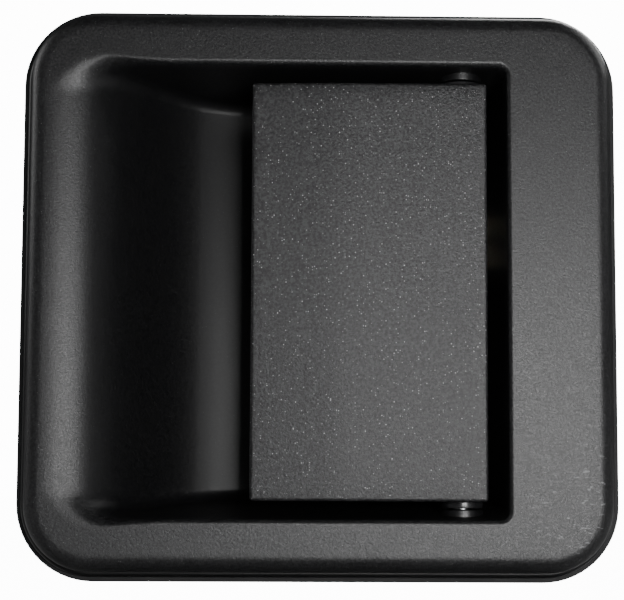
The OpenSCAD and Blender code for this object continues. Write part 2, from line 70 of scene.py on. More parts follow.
class Body(Enum):
    """Moving groups of the handle."""

    HOUSING = "housing"
    PADDLE = "paddle"
    LEVER = "lever"


# ---- surfaces ----


@dataclass
class Skin:
    """Points and four-sided faces of one piece, gathered patch by patch."""

    points: list[np.ndarray] = field(default_factory=list)
    faces: list[np.ndarray] = field(default_factory=list)
    count: int = 0

    def patch(self, net: np.ndarray, wrap_rows: bool = False, wrap_cols: bool = False) -> "Skin":
        """Adds a net of points, joined to its neighbours along rows and columns.

        Args:
            net: Points as (rows, columns, 3), in millimetres.
            wrap_rows: Joins the last row to the first.
            wrap_cols: Joins the last column to the first.

        Returns:
            The skin itself, so that calls can follow each other.
        """
        rows, cols = net.shape[:2]
        r = np.arange(rows if wrap_rows else rows - 1)[:, None]
        c = np.arange(cols if wrap_cols else cols - 1)[None, :]
        below, beside = (r + 1) % rows, (c + 1) % cols
        quads = np.stack([r * cols + c, r * cols + beside, below * cols + beside, below * cols + c], -1)
        self.points.append(net.reshape(-1, 3))
        self.faces.append(quads.reshape(-1, 4) + self.count)
        self.count += rows * cols
        return self

    def add(self, other: "Skin") -> "Skin":
        """Adds all the patches of another skin."""
        self.points += other.points
        self.faces += [quads + self.count for quads in other.faces]
        self.count += other.count
        return self


def rounded_corners(corners: np.ndarray, radius: float, steps: int = 4) -> np.ndarray:
    """Rounds the inner corners of an open outline.

    Each corner becomes a quadratic curve that starts and ends one radius away from it, but never further
    than 0.48 of the shorter side.

    Args:
        corners: Points as (n, 2).
        radius: Distance from a corner to where its curve starts.
        steps: Points on each curve, less one.

    Returns:
        The rounded outline as (m, 2).
    """
    mid, before, after = corners[1:-1], corners[:-2] - corners[1:-1], corners[2:] - corners[1:-1]
    len_a = np.linalg.norm(before, axis=1, keepdims=True)
    len_b = np.linalg.norm(after, axis=1, keepdims=True)
    reach = np.minimum(radius, 0.48 * np.minimum(len_a, len_b))
    start, end = mid + before / len_a * reach, mid + after / len_b * reach
    t = np.linspace(0, 1, steps + 1)[None, :, None]
    arcs = (1 - t) ** 2 * start[:, None] + 2 * t * (1 - t) * mid[:, None] + t**2 * end[:, None]
    return np.vstack([corners[:1], arcs.reshape(-1, 2), corners[-1:]])


def turned(outline: np.ndarray, axis: Axis, centre: tuple[float, float, float], closed: bool = False,
           segments: int = 72) -> Skin:
    """Turns an outline about an axis, as on a lathe.

    A point at distance r and height h goes to r cos a along the first cross direction, r sin a along the
    second and h along the axis, for all angles a of a full turn.

    Args:
        outline: Distances from the axis and heights along it, as (n, 2).
        axis: Direction of the axis.
        centre: A point on the axis, where the height is 0.
        closed: True if the outline is a ring that does not touch the axis.
        segments: Sides of the full turn.

    Returns:
        The turned skin.
    """
    a = np.linspace(0, 2 * math.pi, segments, endpoint=False)
    first, second = [(1, 2), (2, 0), (0, 1)][axis.value]
    net = np.zeros((len(outline), segments, 3))
    net[..., first] = outline[:, :1] * np.cos(a)
    net[..., second] = outline[:, :1] * np.sin(a)
    net[..., axis.value] = outline[:, 1:]
    return Skin().patch(net + np.array(centre), wrap_rows=closed, wrap_cols=True)


def solid_turned(steps: list[tuple[float, float]], axis: Axis, centre: tuple[float, float, float],
                 edge: float = 0.2) -> Skin:
    """A turned solid: its outline starts and ends on the axis, with its edges rounded."""
    return turned(rounded_corners(np.array(steps, float), edge), axis, centre)


def cylinder(radius: float, ends: tuple[float, float], axis: Axis, centre: tuple[float, float, float],
             edge: float = 0.2) -> Skin:
    """A plain cylinder between two heights along its axis, with rounded edges."""
    steps = [(0, ends[0]), (radius, ends[0]), (radius, ends[1]), (0, ends[1])]
    return solid_turned(steps, axis, centre, edge)


def ring_turned(corners: list[tuple[float, float]], axis: Axis, centre: tuple[float, float, float],
                edge: float = 0.15) -> Skin:
    """A turned ring: a closed outline away from the axis, with every corner rounded."""
    loop = np.array(corners, float)
    start = (loop[:1] + loop[-1:]) / 2
    outline = rounded_corners(np.vstack([start, loop, start]), edge)[:-1]
    return turned(outline, axis, centre, closed=True)


def rounded_slab(xs: np.ndarray, zs: np.ndarray, front, back, radius: float, steps: int = 5) -> Skin:
    """A closed slab with rounded edges between two height surfaces over a rectangle of X and Z.

    The edge is a quarter circle: at the angle a its points stand radius sin a outside the grid's border,
    and radius (1 - cos a) behind the height surface. The same quarter leads into the back.

    Args:
        xs: Grid lines in X, rising, which end one radius inside the slab's sides.
        zs: Grid lines in Z, rising, which end one radius inside the slab's ends.
        front: Function of X and Z that gives Y of the face.
        back: Function of X and Z that gives Y of the back.
        radius: Radius of the edges and, in plan, of the corners.
        steps: Segments of a quarter circle.

    Returns:
        The closed skin.
    """
    gx, gz = np.meshgrid(xs, zs, indexing="ij")
    skin = Skin()
    for height in (front, back):
        skin.patch(np.stack([gx, height(gx, gz), gz], -1))
    fan = np.linspace(0, math.pi / 2, steps + 1)
    sides = [(xs, np.full(len(xs), zs[0]), -math.pi / 2), (np.full(len(zs), xs[-1]), zs, 0.0),
             (xs[::-1], np.full(len(xs), zs[-1]), math.pi / 2),
             (np.full(len(zs), xs[0]), zs[::-1], math.pi)]
    px, pz, turn = [], [], []
    for x, z, angle in sides:
        px += [x, np.full(steps + 1, x[-1])]
        pz += [z, np.full(steps + 1, z[-1])]
        turn += [np.full(len(x), angle), angle + fan]
    px, pz, turn = np.concatenate(px), np.concatenate(pz), np.concatenate(turn)
    out = np.concatenate([radius * np.sin(fan), radius * np.sin(fan[::-1])])[:, None]
    lift = radius * (1 - np.cos(fan))
    face_y, back_y = front(px, pz), back(px, pz)
    depth = np.concatenate([face_y + lift[:, None], back_y - lift[::-1, None]])
    skin.patch(np.stack([px + out * np.cos(turn), depth, pz + out * np.sin(turn)], -1), wrap_cols=True)
    return skin


def box_slab(x: tuple[float, float], y: tuple[float, float], z: tuple[float, float], radius: float) -> Skin:
    """A rounded box between two corners."""
    inset = np.array([radius, -radius])
    return rounded_slab(np.array(x) + inset, np.array(z) + inset, lambda a, b: np.full(a.shape, y[0]),
                        lambda a, b: np.full(a.shape, y[1]), radius, 4)


def wire(path: np.ndarray, side: np.ndarray, radius: float, sides: int = 14) -> Skin:
    """A round wire along a path, with domed ends.

    Each ring stands across the path: its first direction is the given side made square to the path, and its
    second is the cross product of the path's direction and the first. The domes are quarter circles.

    Args:
        path: Points as (n, 3).
        side: A direction roughly across the path at each point, as (n, 3).
        radius: Radius of the wire.
        sides: Sides of a ring.

    Returns:
        The closed skin.
    """
    along = np.gradient(path, axis=0)
    along /= np.linalg.norm(along, axis=1, keepdims=True)
    dome = np.linspace(0, math.pi / 2, 4)[1:]
    head = path[:1] - along[:1] * radius * np.sin(dome[::-1, None])
    tail = path[-1:] + along[-1:] * radius * np.sin(dome[:, None])
    size = np.concatenate([np.cos(dome[::-1]), np.ones(len(path)), np.cos(dome)]) * radius
    centre = np.vstack([head, path, tail])
    pad = ((len(dome), len(dome)), (0, 0))
    along, side = np.pad(along, pad, "edge"), np.pad(side, pad, "edge")
    u = side - np.sum(side * along, 1, keepdims=True) * along
    u /= np.linalg.norm(u, axis=1, keepdims=True)
    v = np.cross(along, u)
    a = np.linspace(0, 2 * math.pi, sides, endpoint=False)[None, :, None]
    net = centre[:, None] + size[:, None, None] * (np.cos(a) * u[:, None] + np.sin(a) * v[:, None])
    return Skin().patch(net, wrap_cols=True)


def coil_parts(turns: float, rise: float, wire_r: float, cut: float) -> list[tuple[np.ndarray, np.ndarray]]:
    """Splits a coil in two, so that one end can turn with a moving piece.

    The parts run side by side for a quarter turn. There the second stands one wire and a little air
    above the first, so they can turn a few degrees against each other without a gap or an overlap.

    Args:
        turns: Turns of the coil.
        rise: Height from the first wire centre to the last.
        wire_r: Radius of the wire.
        cut: Turns of the first part.

    Returns:
        For each part, the turn counts and the height at each.
    """
    lift = 2 * wire_r + 0.12
    pitch = (rise - lift) / turns
    parts = []
    for start, end, up in ((0, cut, 0), (cut - 0.25, turns, lift)):
        turn = np.linspace(start, end, int(48 * (end - start)) + 1)
        parts.append((turn, up + pitch * turn))
    return parts


def coil(part: tuple[np.ndarray, np.ndarray], centre: tuple[float, float, float], radius: float,
         axis: Axis, start: float, hand: int) -> tuple[np.ndarray, np.ndarray]:
    """Path of one part of a coil about Y or Z.

    At the angle a, start plus or minus a full turn for each turn counted, a point stands one radius from
    the axis: cos a along X and sin a along the other cross direction. Its height is added along the axis.

    Args:
        part: Turn counts and the height at each, from coil_parts.
        centre: The point on the axis where the height is 0.
        radius: Radius of the coil.
        axis: Direction of its axis.
        start: Angle at no turns.
        hand: 1 or -1, the way that it turns.

    Returns:
        The points, and the direction from the axis out to each.
    """
    turn, height = part
    a = start + hand * 2 * math.pi * turn
    out = np.zeros((len(a), 3))
    out[:, 0], out[:, 3 - axis.value] = np.cos(a), np.sin(a)
    points = np.array(centre) + radius * out
    points[:, axis.value] += height
    return points, out


def leg(points: list[tuple[float, float, float]], side: float) -> tuple[np.ndarray, np.ndarray]:
    """Path of a spring's end, with the same side direction along X at every point."""
    return np.array(points, float), np.tile([side, 0, 0], (len(points), 1))


def spring_wire(stretches: list[tuple[np.ndarray, np.ndarray]], radius: float) -> Skin:
    """A wire along stretches of path that follow each other, with the corners of the path cut.

    New points stand at a quarter and three quarters of the way between each two old ones.
    """
    both = []
    for data in zip(*stretches):
        line = np.vstack(data)
        near, far = 0.75 * line[:-1] + 0.25 * line[1:], 0.25 * line[:-1] + 0.75 * line[1:]
        both.append(np.vstack([line[0], np.stack([near, far], 1).reshape(-1, 3), line[-1]]))
    return wire(both[0], both[1], radius)


def rounded_blend(a: np.ndarray, b: np.ndarray, radius: np.ndarray | float) -> np.ndarray:
    """Distance to the overlap of two regions with a rounded corner.

    Inside is negative. Where both distances are within a radius of zero, the result is the length of
    (radius + a, radius + b) less the radius, which is a circular fillet.
    """
    ua, ub = np.maximum(radius + a, 0), np.maximum(radius + b, 0)
    return np.minimum(-radius, np.maximum(a, b)) + np.hypot(ua, ub)


# ---- Blender objects ----


def link_object(name: str, data: bpy.types.ID) -> bpy.types.Object:
    """Makes an object of a mesh, light or camera and links it to the scene."""
    obj = bpy.data.objects.new(name, data)
    bpy.context.scene.collection.objects.link(obj)
    return obj


def make_object(name: str, skin: Skin) -> bpy.types.Object:
    """Turns a skin into a Blender object at the origin, with merged seams and faces that point outwards.

    Args:
        name: Name of the object.
        skin: Its points and faces, in millimetres.

    Returns:
        The new object, linked to the scene.
    """
    mesh = bpy.data.meshes.new(name)
    mesh.from_pydata((np.vstack(skin.points) * MM).tolist(), [], np.vstack(skin.faces).tolist())
    edit = bmesh.new()
    edit.from_mesh(mesh)
    bmesh.ops.remove_doubles(edit, verts=edit.verts, dist=WELD_DISTANCE)
    bmesh.ops.dissolve_degenerate(edit, edges=edit.edges, dist=WELD_DISTANCE)
    bmesh.ops.recalc_face_normals(edit, faces=edit.faces)
    edit.to_mesh(mesh)
    edit.free()
    return link_object(name, mesh)


def cut_away(obj: bpy.types.Object, cutters: list[Skin]) -> None:
    """Cuts closed skins out of an object and keeps the result as its mesh.

    Args:
        obj: The object that is cut.
        cutters: Skins of what is taken away.
    """
    for index, cutter in enumerate(cutters):
        tool = make_object(f"{obj.name}.cutter{index}", cutter)
        modifier = obj.modifiers.new("cut", "BOOLEAN")
        modifier.operation, modifier.solver, modifier.object = "DIFFERENCE", "EXACT", tool
        graph = bpy.context.evaluated_depsgraph_get()
        mesh = bpy.data.meshes.new_from_object(obj.evaluated_get(graph))
        obj.modifiers.clear()
        obj.data = mesh
        bpy.data.objects.remove(tool)


def place_piece(obj: bpy.types.Object, body: Body, slot: str, nodes: list[str],
                material: bpy.types.Material, smooth_angle: float = 32) -> bpy.types.Object:
    """Shades a piece, gives it its material and ties it to the frame.

    Args:
        obj: The finished object.
        body: The moving group that it rides on.
        slot: The record's material slot; not used.
        nodes: The CAD nodes that it stands for.
        material: Its finish.
        smooth_angle: Edges sharper than this many degrees stay crisp.

    Returns:
        The same object.
    """
    mesh = obj.data
    mesh.polygons.foreach_set("use_smooth", np.ones(len(mesh.polygons), bool))
    mesh.set_sharp_from_angle(angle=math.radians(smooth_angle))
    mesh.materials.clear()
    mesh.materials.append(material)
    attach(obj, body.value)
    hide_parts(*nodes)
    LOG.info("%s: %d faces, rides on %s", obj.name, len(mesh.polygons), body.value)
    return obj


def smooth_group(angle: float) -> bpy.types.NodeTree:
    """Geometry nodes that shade a mesh smooth and keep edges over an angle crisp.

    Args:
        angle: The angle in degrees.

    Returns:
        The node tree for a modifier.
    """
    name = f"smooth_by_angle_{angle:.0f}"
    if name in bpy.data.node_groups:
        return bpy.data.node_groups[name]
    tree = bpy.data.node_groups.new(name, "GeometryNodeTree")
    tree.interface.new_socket("Geometry", in_out="INPUT", socket_type="NodeSocketGeometry")
    tree.interface.new_socket("Geometry", in_out="OUTPUT", socket_type="NodeSocketGeometry")
    graph = Graph(tree)
    start, end = tree.nodes.new("NodeGroupInput"), tree.nodes.new("NodeGroupOutput")
    faces = graph.node("GeometryNodeSetShadeSmooth", {"Geometry": start.outputs[0], "Shade Smooth": True},
                       domain="FACE")
    fold = graph.node("GeometryNodeInputMeshEdgeAngle", {})
    soft = graph.node("FunctionNodeCompare", {0: fold.outputs[0], 1: math.radians(angle)},
                      data_type="FLOAT", operation="LESS_THAN")
    edges = graph.node("GeometryNodeSetShadeSmooth",
                       {"Geometry": faces.outputs[0], "Shade Smooth": soft.outputs[0]}, domain="EDGE")
    tree.links.new(edges.outputs[0], end.inputs[0])
    return tree


def dress_node(name: str, material: bpy.types.Material, edge: float) -> None:
    """Gives a CAD node its finish and, by modifiers only, broken edges and smooth round faces.

    Args:
        name: The CAD node.
        material: Its finish.
        edge: Width of the broken edges in millimetres.
    """
    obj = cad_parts[name]
    weld = obj.modifiers.new("weld", "WELD")
    weld.merge_threshold = CAD_WELD_DISTANCE * MM
    bevel = obj.modifiers.new("broken_edges", "BEVEL")
    bevel.width, bevel.segments, bevel.limit_method = edge * MM, 2, "ANGLE"
    bevel.angle_limit, bevel.use_clamp_overlap = math.radians(BROKEN_EDGE_ANGLE), True
    smooth = obj.modifiers.new("smooth", "NODES")
    smooth.node_group = smooth_group(CAD_SMOOTH_ANGLE)
    obj.data.materials.clear()
    obj.data.materials.append(material)
    LOG.info("%s: CAD node with its finish", name)


# ---- finishes ----


class Graph:
    """A short way to add nodes to a tree."""

    def __init__(self, tree: bpy.types.NodeTree) -> None:
        """Keeps the tree."""
        self.tree = tree

    def node(self, kind: str, inputs: dict, **settings) -> bpy.types.Node:
        """Adds one node.

        Args:
            kind: Blender's type of node.
            inputs: Values or output sockets by input name or number.
            **settings: Properties of the node.

        Returns:
            The node.
        """
        node = self.tree.nodes.new(kind)
        for key, value in settings.items():
            setattr(node, key, value)
        for key, value in inputs.items():
            socket = node.inputs[key]
            if isinstance(value, bpy.types.NodeSocket):
                self.tree.links.new(value, socket)
            else:
                socket.default_value = value
        return node

    def math(self, operation: str, a, b=0.0, clamp: bool = False) -> bpy.types.NodeSocket:
        """Adds a sum, product or other operation of two values and gives its output."""
        return self.node("ShaderNodeMath", {0: a, 1: b}, operation=operation, use_clamp=clamp).outputs[0]

    def times(self, a, b) -> bpy.types.NodeSocket:
        """Multiplies two values."""
        return self.math("MULTIPLY", a, b)

    def place(self) -> bpy.types.NodeSocket:
        """Gives the object's own coordinates."""
        return self.node("ShaderNodeTexCoord", {}).outputs["Object"]

    def stretched(self, place, scale: tuple[float, float, float],
                  turn: tuple[float, float, float] = (0.0, 0.0, 0.0)) -> bpy.types.NodeSocket:
        """Turns coordinates and scales each of them on its own."""
        return self.node("ShaderNodeMapping", {"Vector": place, "Rotation": turn, "Scale": scale}).outputs[0]

    def span(self, value, low: float, high: float, to_low: float = 0.0, to_high: float = 1.0):
        """Maps a value smoothly from one span to another, and holds it at the ends."""
        return self.node("ShaderNodeMapRange", {"Value": value, "From Min": low, "From Max": high,
                                                "To Min": to_low, "To Max": to_high},
                         interpolation_type="SMOOTHSTEP", clamp=True).outputs["Result"]

    def noise(self, place, scale, detail: float = 3.0, rough: float = 0.55):
        """Adds a noise texture and gives its value."""
        return self.node("ShaderNodeTexNoise", {"Vector": place, "Scale": scale, "Detail": detail,
                                                "Roughness": rough}).outputs["Fac"]

    def mix(self, factor, a, b) -> bpy.types.NodeSocket:
        """Mixes two colours."""
        return self.node("ShaderNodeMix", {0: factor, 6: a, 7: b}, data_type="RGBA").outputs[2]


def shader_group(name: str, inputs: dict[str, float], outputs: list[str]) -> tuple | None:
    """Starts a shader node group, or finds it if it is there already.

    Args:
        name: Name of the group.
        inputs: Names and defaults of its value inputs.
        outputs: Names of its value outputs.

    Returns:
        The tree, its input node and its output node, or None where the group exists.
    """
    if name in bpy.data.node_groups:
        return None
    tree = bpy.data.node_groups.new(name, "ShaderNodeTree")
    for key, default in inputs.items():
        tree.interface.new_socket(key, in_out="INPUT", socket_type="NodeSocketFloat").default_value = default
    for key in outputs:
        tree.interface.new_socket(key, in_out="OUTPUT", socket_type="NodeSocketFloat")
    return tree, tree.nodes.new("NodeGroupInput"), tree.nodes.new("NodeGroupOutput")


def grain_group() -> bpy.types.NodeTree:
    """Spark-eroded grain of a mould: pebbles a few tenths of a millimetre across, with painted highlights,
    which are bright specks of colour that stand in for glints off the grain.

    The height is a mix of cell distances and fine noise. A painted glint speck is a cell whose random value
    is over a limit, near the cell's middle. The mottle is a second noise of the same size, with its middle
    stretched.

    Returns:
        The group, with outputs for the height, the painted glint specks and the mottle.
    """
    made = shader_group("mould_grain", {"Scale": 2600.0, "Share": 0.1}, ["Height", "PaintedGlint", "Mottle"])
    if made:
        tree, start, end = made
        graph, scale, share = Graph(tree), start.outputs["Scale"], start.outputs["Share"]
        place = graph.place()
        cells = graph.node("ShaderNodeTexVoronoi", {"Vector": place, "Scale": scale}, feature="F1")
        fine = graph.noise(place, scale, 4.0, 0.75)
        pebble = graph.span(cells.outputs["Distance"], 0.0, 0.75, 1.0, 0.0)
        height = graph.math("ADD", graph.times(pebble, 0.15), graph.times(fine, 1.3))
        tree.links.new(height, end.inputs["Height"])
        # Painted glints: a few cells, near their middles, that are made bright in the base colour
        glint_cells = graph.node("ShaderNodeTexVoronoi", {"Vector": place, "Scale": graph.times(scale, 1.1)},
                           feature="F1")
        value = graph.node("ShaderNodeSeparateColor", {"Color": glint_cells.outputs["Color"]}).outputs[0]
        over = graph.math("SUBTRACT", value, graph.math("SUBTRACT", 1.0, share))
        chosen = graph.math("DIVIDE", over, share, True)
        near = graph.span(glint_cells.outputs["Distance"], 0.05, 0.36, 1.0, 0.0)
        tree.links.new(graph.times(graph.math("POWER", chosen, 2.0), near), end.inputs["PaintedGlint"])
        other = graph.node("ShaderNodeVectorMath", {0: place, 1: (0.3, 0.7, 0.1)}, operation="ADD").outputs[0]
        mottle = graph.noise(other, graph.times(scale, 0.8), 3.0, 0.6)
        tree.links.new(graph.span(mottle, 0.36, 0.66), end.inputs["Mottle"])
    return bpy.data.node_groups["mould_grain"]


def wear_group() -> bpy.types.NodeTree:
    """Handling marks: cloudy patches and fine slanted scratches.

    Patches are a noise above its middle. Scratches are a second noise, drawn out along a slanted
    direction and kept only where it is near its peak and a patch lies under it.

    Returns:
        The group, with outputs Patch and Scratch.
    """
    made = shader_group("handling_wear", {"Scale": 40.0, "Amount": 0.5}, ["Patch", "Scratch"])
    if made:
        tree, start, end = made
        graph, amount = Graph(tree), start.outputs["Amount"]
        place = graph.place()
        cloud = graph.noise(place, start.outputs["Scale"], 5.0, 0.6)
        tree.links.new(graph.times(graph.span(cloud, 0.42, 0.68), amount), end.inputs["Patch"])
        lines = graph.noise(graph.stretched(place, (40.0, 900.0, 1600.0), (0.3, 0.65, 0.2)), 1.0, 2.0, 0.5)
        scratch = graph.times(graph.span(lines, 0.66, 0.74), graph.span(cloud, 0.45, 0.6))
        tree.links.new(graph.times(scratch, amount), end.inputs["Scratch"])
    return bpy.data.node_groups["handling_wear"]


def new_material(name: str, fixed: dict) -> tuple[bpy.types.Material, Graph, bpy.types.Node]:
    """Starts a material with a Principled shader.

    Args:
        name: Name of the material.
        fixed: Values that are the same all over the surface, by socket.

    Returns:
        The material, its graph and the shader node.
    """
    material = bpy.data.materials.new(name)
    material.use_nodes = True
    graph = Graph(material.node_tree)
    shader = material.node_tree.nodes["Principled BSDF"]
    for key, value in fixed.items():
        shader.inputs[key].default_value = value
    return material, graph, shader


def use_group(graph: Graph, tree: bpy.types.NodeTree, values: dict[str, float]) -> bpy.types.Node:
    """Places a shader group in a material with its own values."""
    node = graph.node("ShaderNodeGroup", {}, node_tree=tree)
    for key, value in values.items():
        node.inputs[key].default_value = value
    return node


def bump(graph: Graph, shader: bpy.types.Node, height, depth: float) -> None:
    """Feeds a height into the shader's normal.

    Args:
        graph: The material's graph.
        shader: Its shader.
        height: Output socket of the height.
        depth: Height of 1 in millimetres.
    """
    node = graph.node("ShaderNodeBump", {"Height": height, "Distance": depth * MM})
    graph.tree.links.new(node.outputs[0], shader.inputs["Normal"])


@dataclass(frozen=True)
class MouldedBlack:
    """Black moulded plastic with a spark-eroded grain and painted glint specks."""

    name: str
    grain_scale: float
    grain_depth: float
    painted_glint_share: float
    painted_glint_tone: float
    mottle_tone: float
    roughness: float
    smooth_pocket: bool

    def chipped(self, graph: Graph, place, depth, colour) -> bpy.types.NodeSocket:
        """Adds light chips in a small zone of the face next to the recess's lower right corner."""
        near = graph.node("ShaderNodeVectorMath", {0: place, 1: (0.0505, -0.011, -0.0415)},
                          operation="DISTANCE").outputs["Value"]
        zone = graph.times(graph.span(near, 0.005, 0.015, 1.0, 0.0),
                           graph.span(depth, -0.0100, -0.0090, 1.0, 0.0))
        slanted = graph.stretched(place, (420.0, 600.0, 1100.0), (0.0, 0.7, 0.0))
        chips = graph.span(graph.noise(slanted, 1.0, 3.0), 0.63, 0.70)
        return graph.mix(graph.times(chips, zone), colour, (0.16, 0.16, 0.165, 1))

    def material(self) -> bpy.types.Material:
        """Builds the finish: worn base, lighter mottle, bright specks painted as glints and, for the bezel, a
        smoother pocket.
        """
        base, worn = (0.0028, 0.0028, 0.0032, 1), (0.005, 0.005, 0.0053, 1)
        lit = (self.mottle_tone, self.mottle_tone, self.mottle_tone * 1.04, 1)
        # Colour of the painted highlight specks, which stand in for glints off the grain
        painted_glint_colour = (self.painted_glint_tone, self.painted_glint_tone, self.painted_glint_tone, 1)
        material, graph, shader = new_material(self.name, {"IOR": 1.5})
        grain = use_group(graph, grain_group(), {"Scale": self.grain_scale, "Share": self.painted_glint_share})
        wear = use_group(graph, wear_group(), {"Scale": 55.0, "Amount": 0.3})
        place = graph.place()
        depth = graph.node("ShaderNodeSeparateXYZ", {0: place}).outputs["Y"]
        parts = [grain.outputs[key] for key in ("Height", "PaintedGlint", "Mottle")]
        if self.smooth_pocket:
            keep = graph.math("SUBTRACT", 1.0, graph.times(graph.span(depth, -0.0105, -0.0075), 0.75))
            parts = [graph.times(part, keep) for part in parts]
        height, painted_glint_mask, mottle = parts
        colour = graph.mix(mottle, graph.mix(wear.outputs["Patch"], base, worn), lit)
        if self.smooth_pocket:
            colour = self.chipped(graph, place, depth, colour)
        # Painted highlights: the specks lighten the base colour to stand in for glints off the grain
        colour = graph.mix(graph.times(painted_glint_mask, 0.9), colour, painted_glint_colour)
        rough = graph.span(graph.noise(place, self.grain_scale, 3.0), 0.3, 0.7, self.roughness - 0.05,
                           self.roughness + 0.05)
        rough = graph.math("SUBTRACT", rough, graph.times(wear.outputs["Scratch"], 0.05))
        graph.tree.links.new(colour, shader.inputs["Base Color"])
        graph.tree.links.new(rough, shader.inputs["Roughness"])
        bump(graph, shader, height, self.grain_depth)
        return material


@dataclass(frozen=True)
class PlatedSteel:
    """Sheet or turned steel with a plated or bare surface."""

    name: str
    tone: tuple[float, float, float]
    tint: tuple[float, float, float]
    roughness: float
    patchy: float
    scratch: float

    def material(self) -> bpy.types.Material:
        """Builds the finish."""
        material, graph, shader = new_material(self.name, {"Metallic": 1.0})
        wear = use_group(graph, wear_group(), {"Scale": 90.0, "Amount": 1.0})
        place = graph.place()
        patch = graph.times(wear.outputs["Patch"], self.patchy)
        colour = graph.mix(patch, (*self.tone, 1), (*self.tint, 1))
        speckle = graph.noise(place, 2200.0, 3.0)
        colour = graph.mix(graph.span(speckle, 0.3, 0.75, 0.0, 0.25), colour, (0.05, 0.05, 0.05, 1))
        graph.tree.links.new(colour, shader.inputs["Base Color"])
        rough = graph.span(speckle, 0.25, 0.75, self.roughness - 0.05, self.roughness + 0.08)
        rough = graph.math("ADD", rough, graph.times(wear.outputs["Scratch"], self.scratch))
        graph.tree.links.new(rough, shader.inputs["Roughness"])
        lines = graph.noise(graph.stretched(place, (5000.0, 5000.0, 120.0)), 1.0, 2.0)
        bump(graph, shader, graph.math("ADD", lines, graph.times(speckle, 0.6)), 0.006)
        return material


@dataclass(frozen=True)
class PlainPolymer:
    """Natural acetal, nylon or rubber: plain moulded pieces with faint flow marks."""

    name: str
    tone: tuple[float, float, float]
    stain: tuple[float, float, float]
    roughness: float
    subsurface: float
    grain_depth: float

    def material(self) -> bpy.types.Material:
        """Builds the finish."""
        fixed = {"IOR": 1.48, "Subsurface Weight": self.subsurface, "Subsurface Scale": 0.4 * MM}
        material, graph, shader = new_material(self.name, fixed)
        place = graph.place()
        wear = use_group(graph, wear_group(), {"Scale": 130.0, "Amount": 0.8})
        grain = use_group(graph, grain_group(), {"Scale": 4200.0, "Share": 0.0})
        flow = graph.noise(graph.stretched(place, (180.0, 60.0, 300.0)), 1.0, 4.0)
        mask = graph.math("ADD", graph.times(wear.outputs["Patch"], 0.5),
                          graph.span(flow, 0.4, 0.75, 0.0, 0.35), clamp=True)
        graph.tree.links.new(graph.mix(mask, (*self.tone, 1), (*self.stain, 1)), shader.inputs["Base Color"])
        graph.tree.links.new(graph.span(flow, 0.3, 0.7, self.roughness - 0.05, self.roughness + 0.07),
                             shader.inputs["Roughness"])
        bump(graph, shader, grain.outputs["Height"], self.grain_depth)
        return material


class Finishes:
    """All the finishes of the handle, each built once."""

    def __init__(self) -> None:
        """Builds the materials."""
        # For the bezel and the paddle, the fourth and fifth values give the share and tone of the painted
        # glint specks
        self.bezel = MouldedBlack("bezel_black", 2500.0, 0.045, 0.14, 0.20, 0.020, 0.385, True).material()
        self.paddle = MouldedBlack("paddle_black", 2300.0, 0.075, 0.26, 0.80, 0.034, 0.37, False).material()
        self.rubber = PlainPolymer("seal_rubber", (0.012, 0.012, 0.013), (0.03, 0.03, 0.029), 0.72, 0.0,
                                   0.02).material()
        self.zinc = PlatedSteel("bright_zinc", (0.60, 0.62, 0.65), (0.42, 0.45, 0.52), 0.30, 0.6,
                                0.2).material()
        self.yellow = PlatedSteel("yellow_zinc", (0.62, 0.50, 0.25), (0.50, 0.42, 0.36), 0.33, 0.9,
                                  0.2).material()
        self.ground = PlatedSteel("ground_steel", (0.55, 0.56, 0.57), (0.44, 0.45, 0.46), 0.20, 0.4,
                                  0.15).material()
        self.spring = PlatedSteel("spring_wire", (0.24, 0.25, 0.27), (0.16, 0.15, 0.14), 0.30, 0.7,
                                  0.2).material()
        self.oxide = PlatedSteel("black_oxide", (0.05, 0.052, 0.058), (0.10, 0.09, 0.08), 0.38, 0.5,
                                 0.2).material()
        self.acetal = PlainPolymer("black_acetal", (0.010, 0.010, 0.011), (0.02, 0.02, 0.021), 0.24, 0.0,
                                   0.002).material()
        self.nylon = PlainPolymer("natural_nylon", (0.78, 0.74, 0.63), (0.63, 0.57, 0.44), 0.42, 0.2,
                                  0.006).material()


# ---- the handle's own sizes, shared by its sub-assemblies ----

FACE_Y = -11.0
WALL = 2.5
HINGE_X, HINGE_Y = 28.0, -3.0
PIN_R = 2.0
EAR_R = 4.2
PADDLE_HALF_H = 40.8
ARM_Z = 12.75
LEVER_X, LEVER_Z = 20.8, -17.25


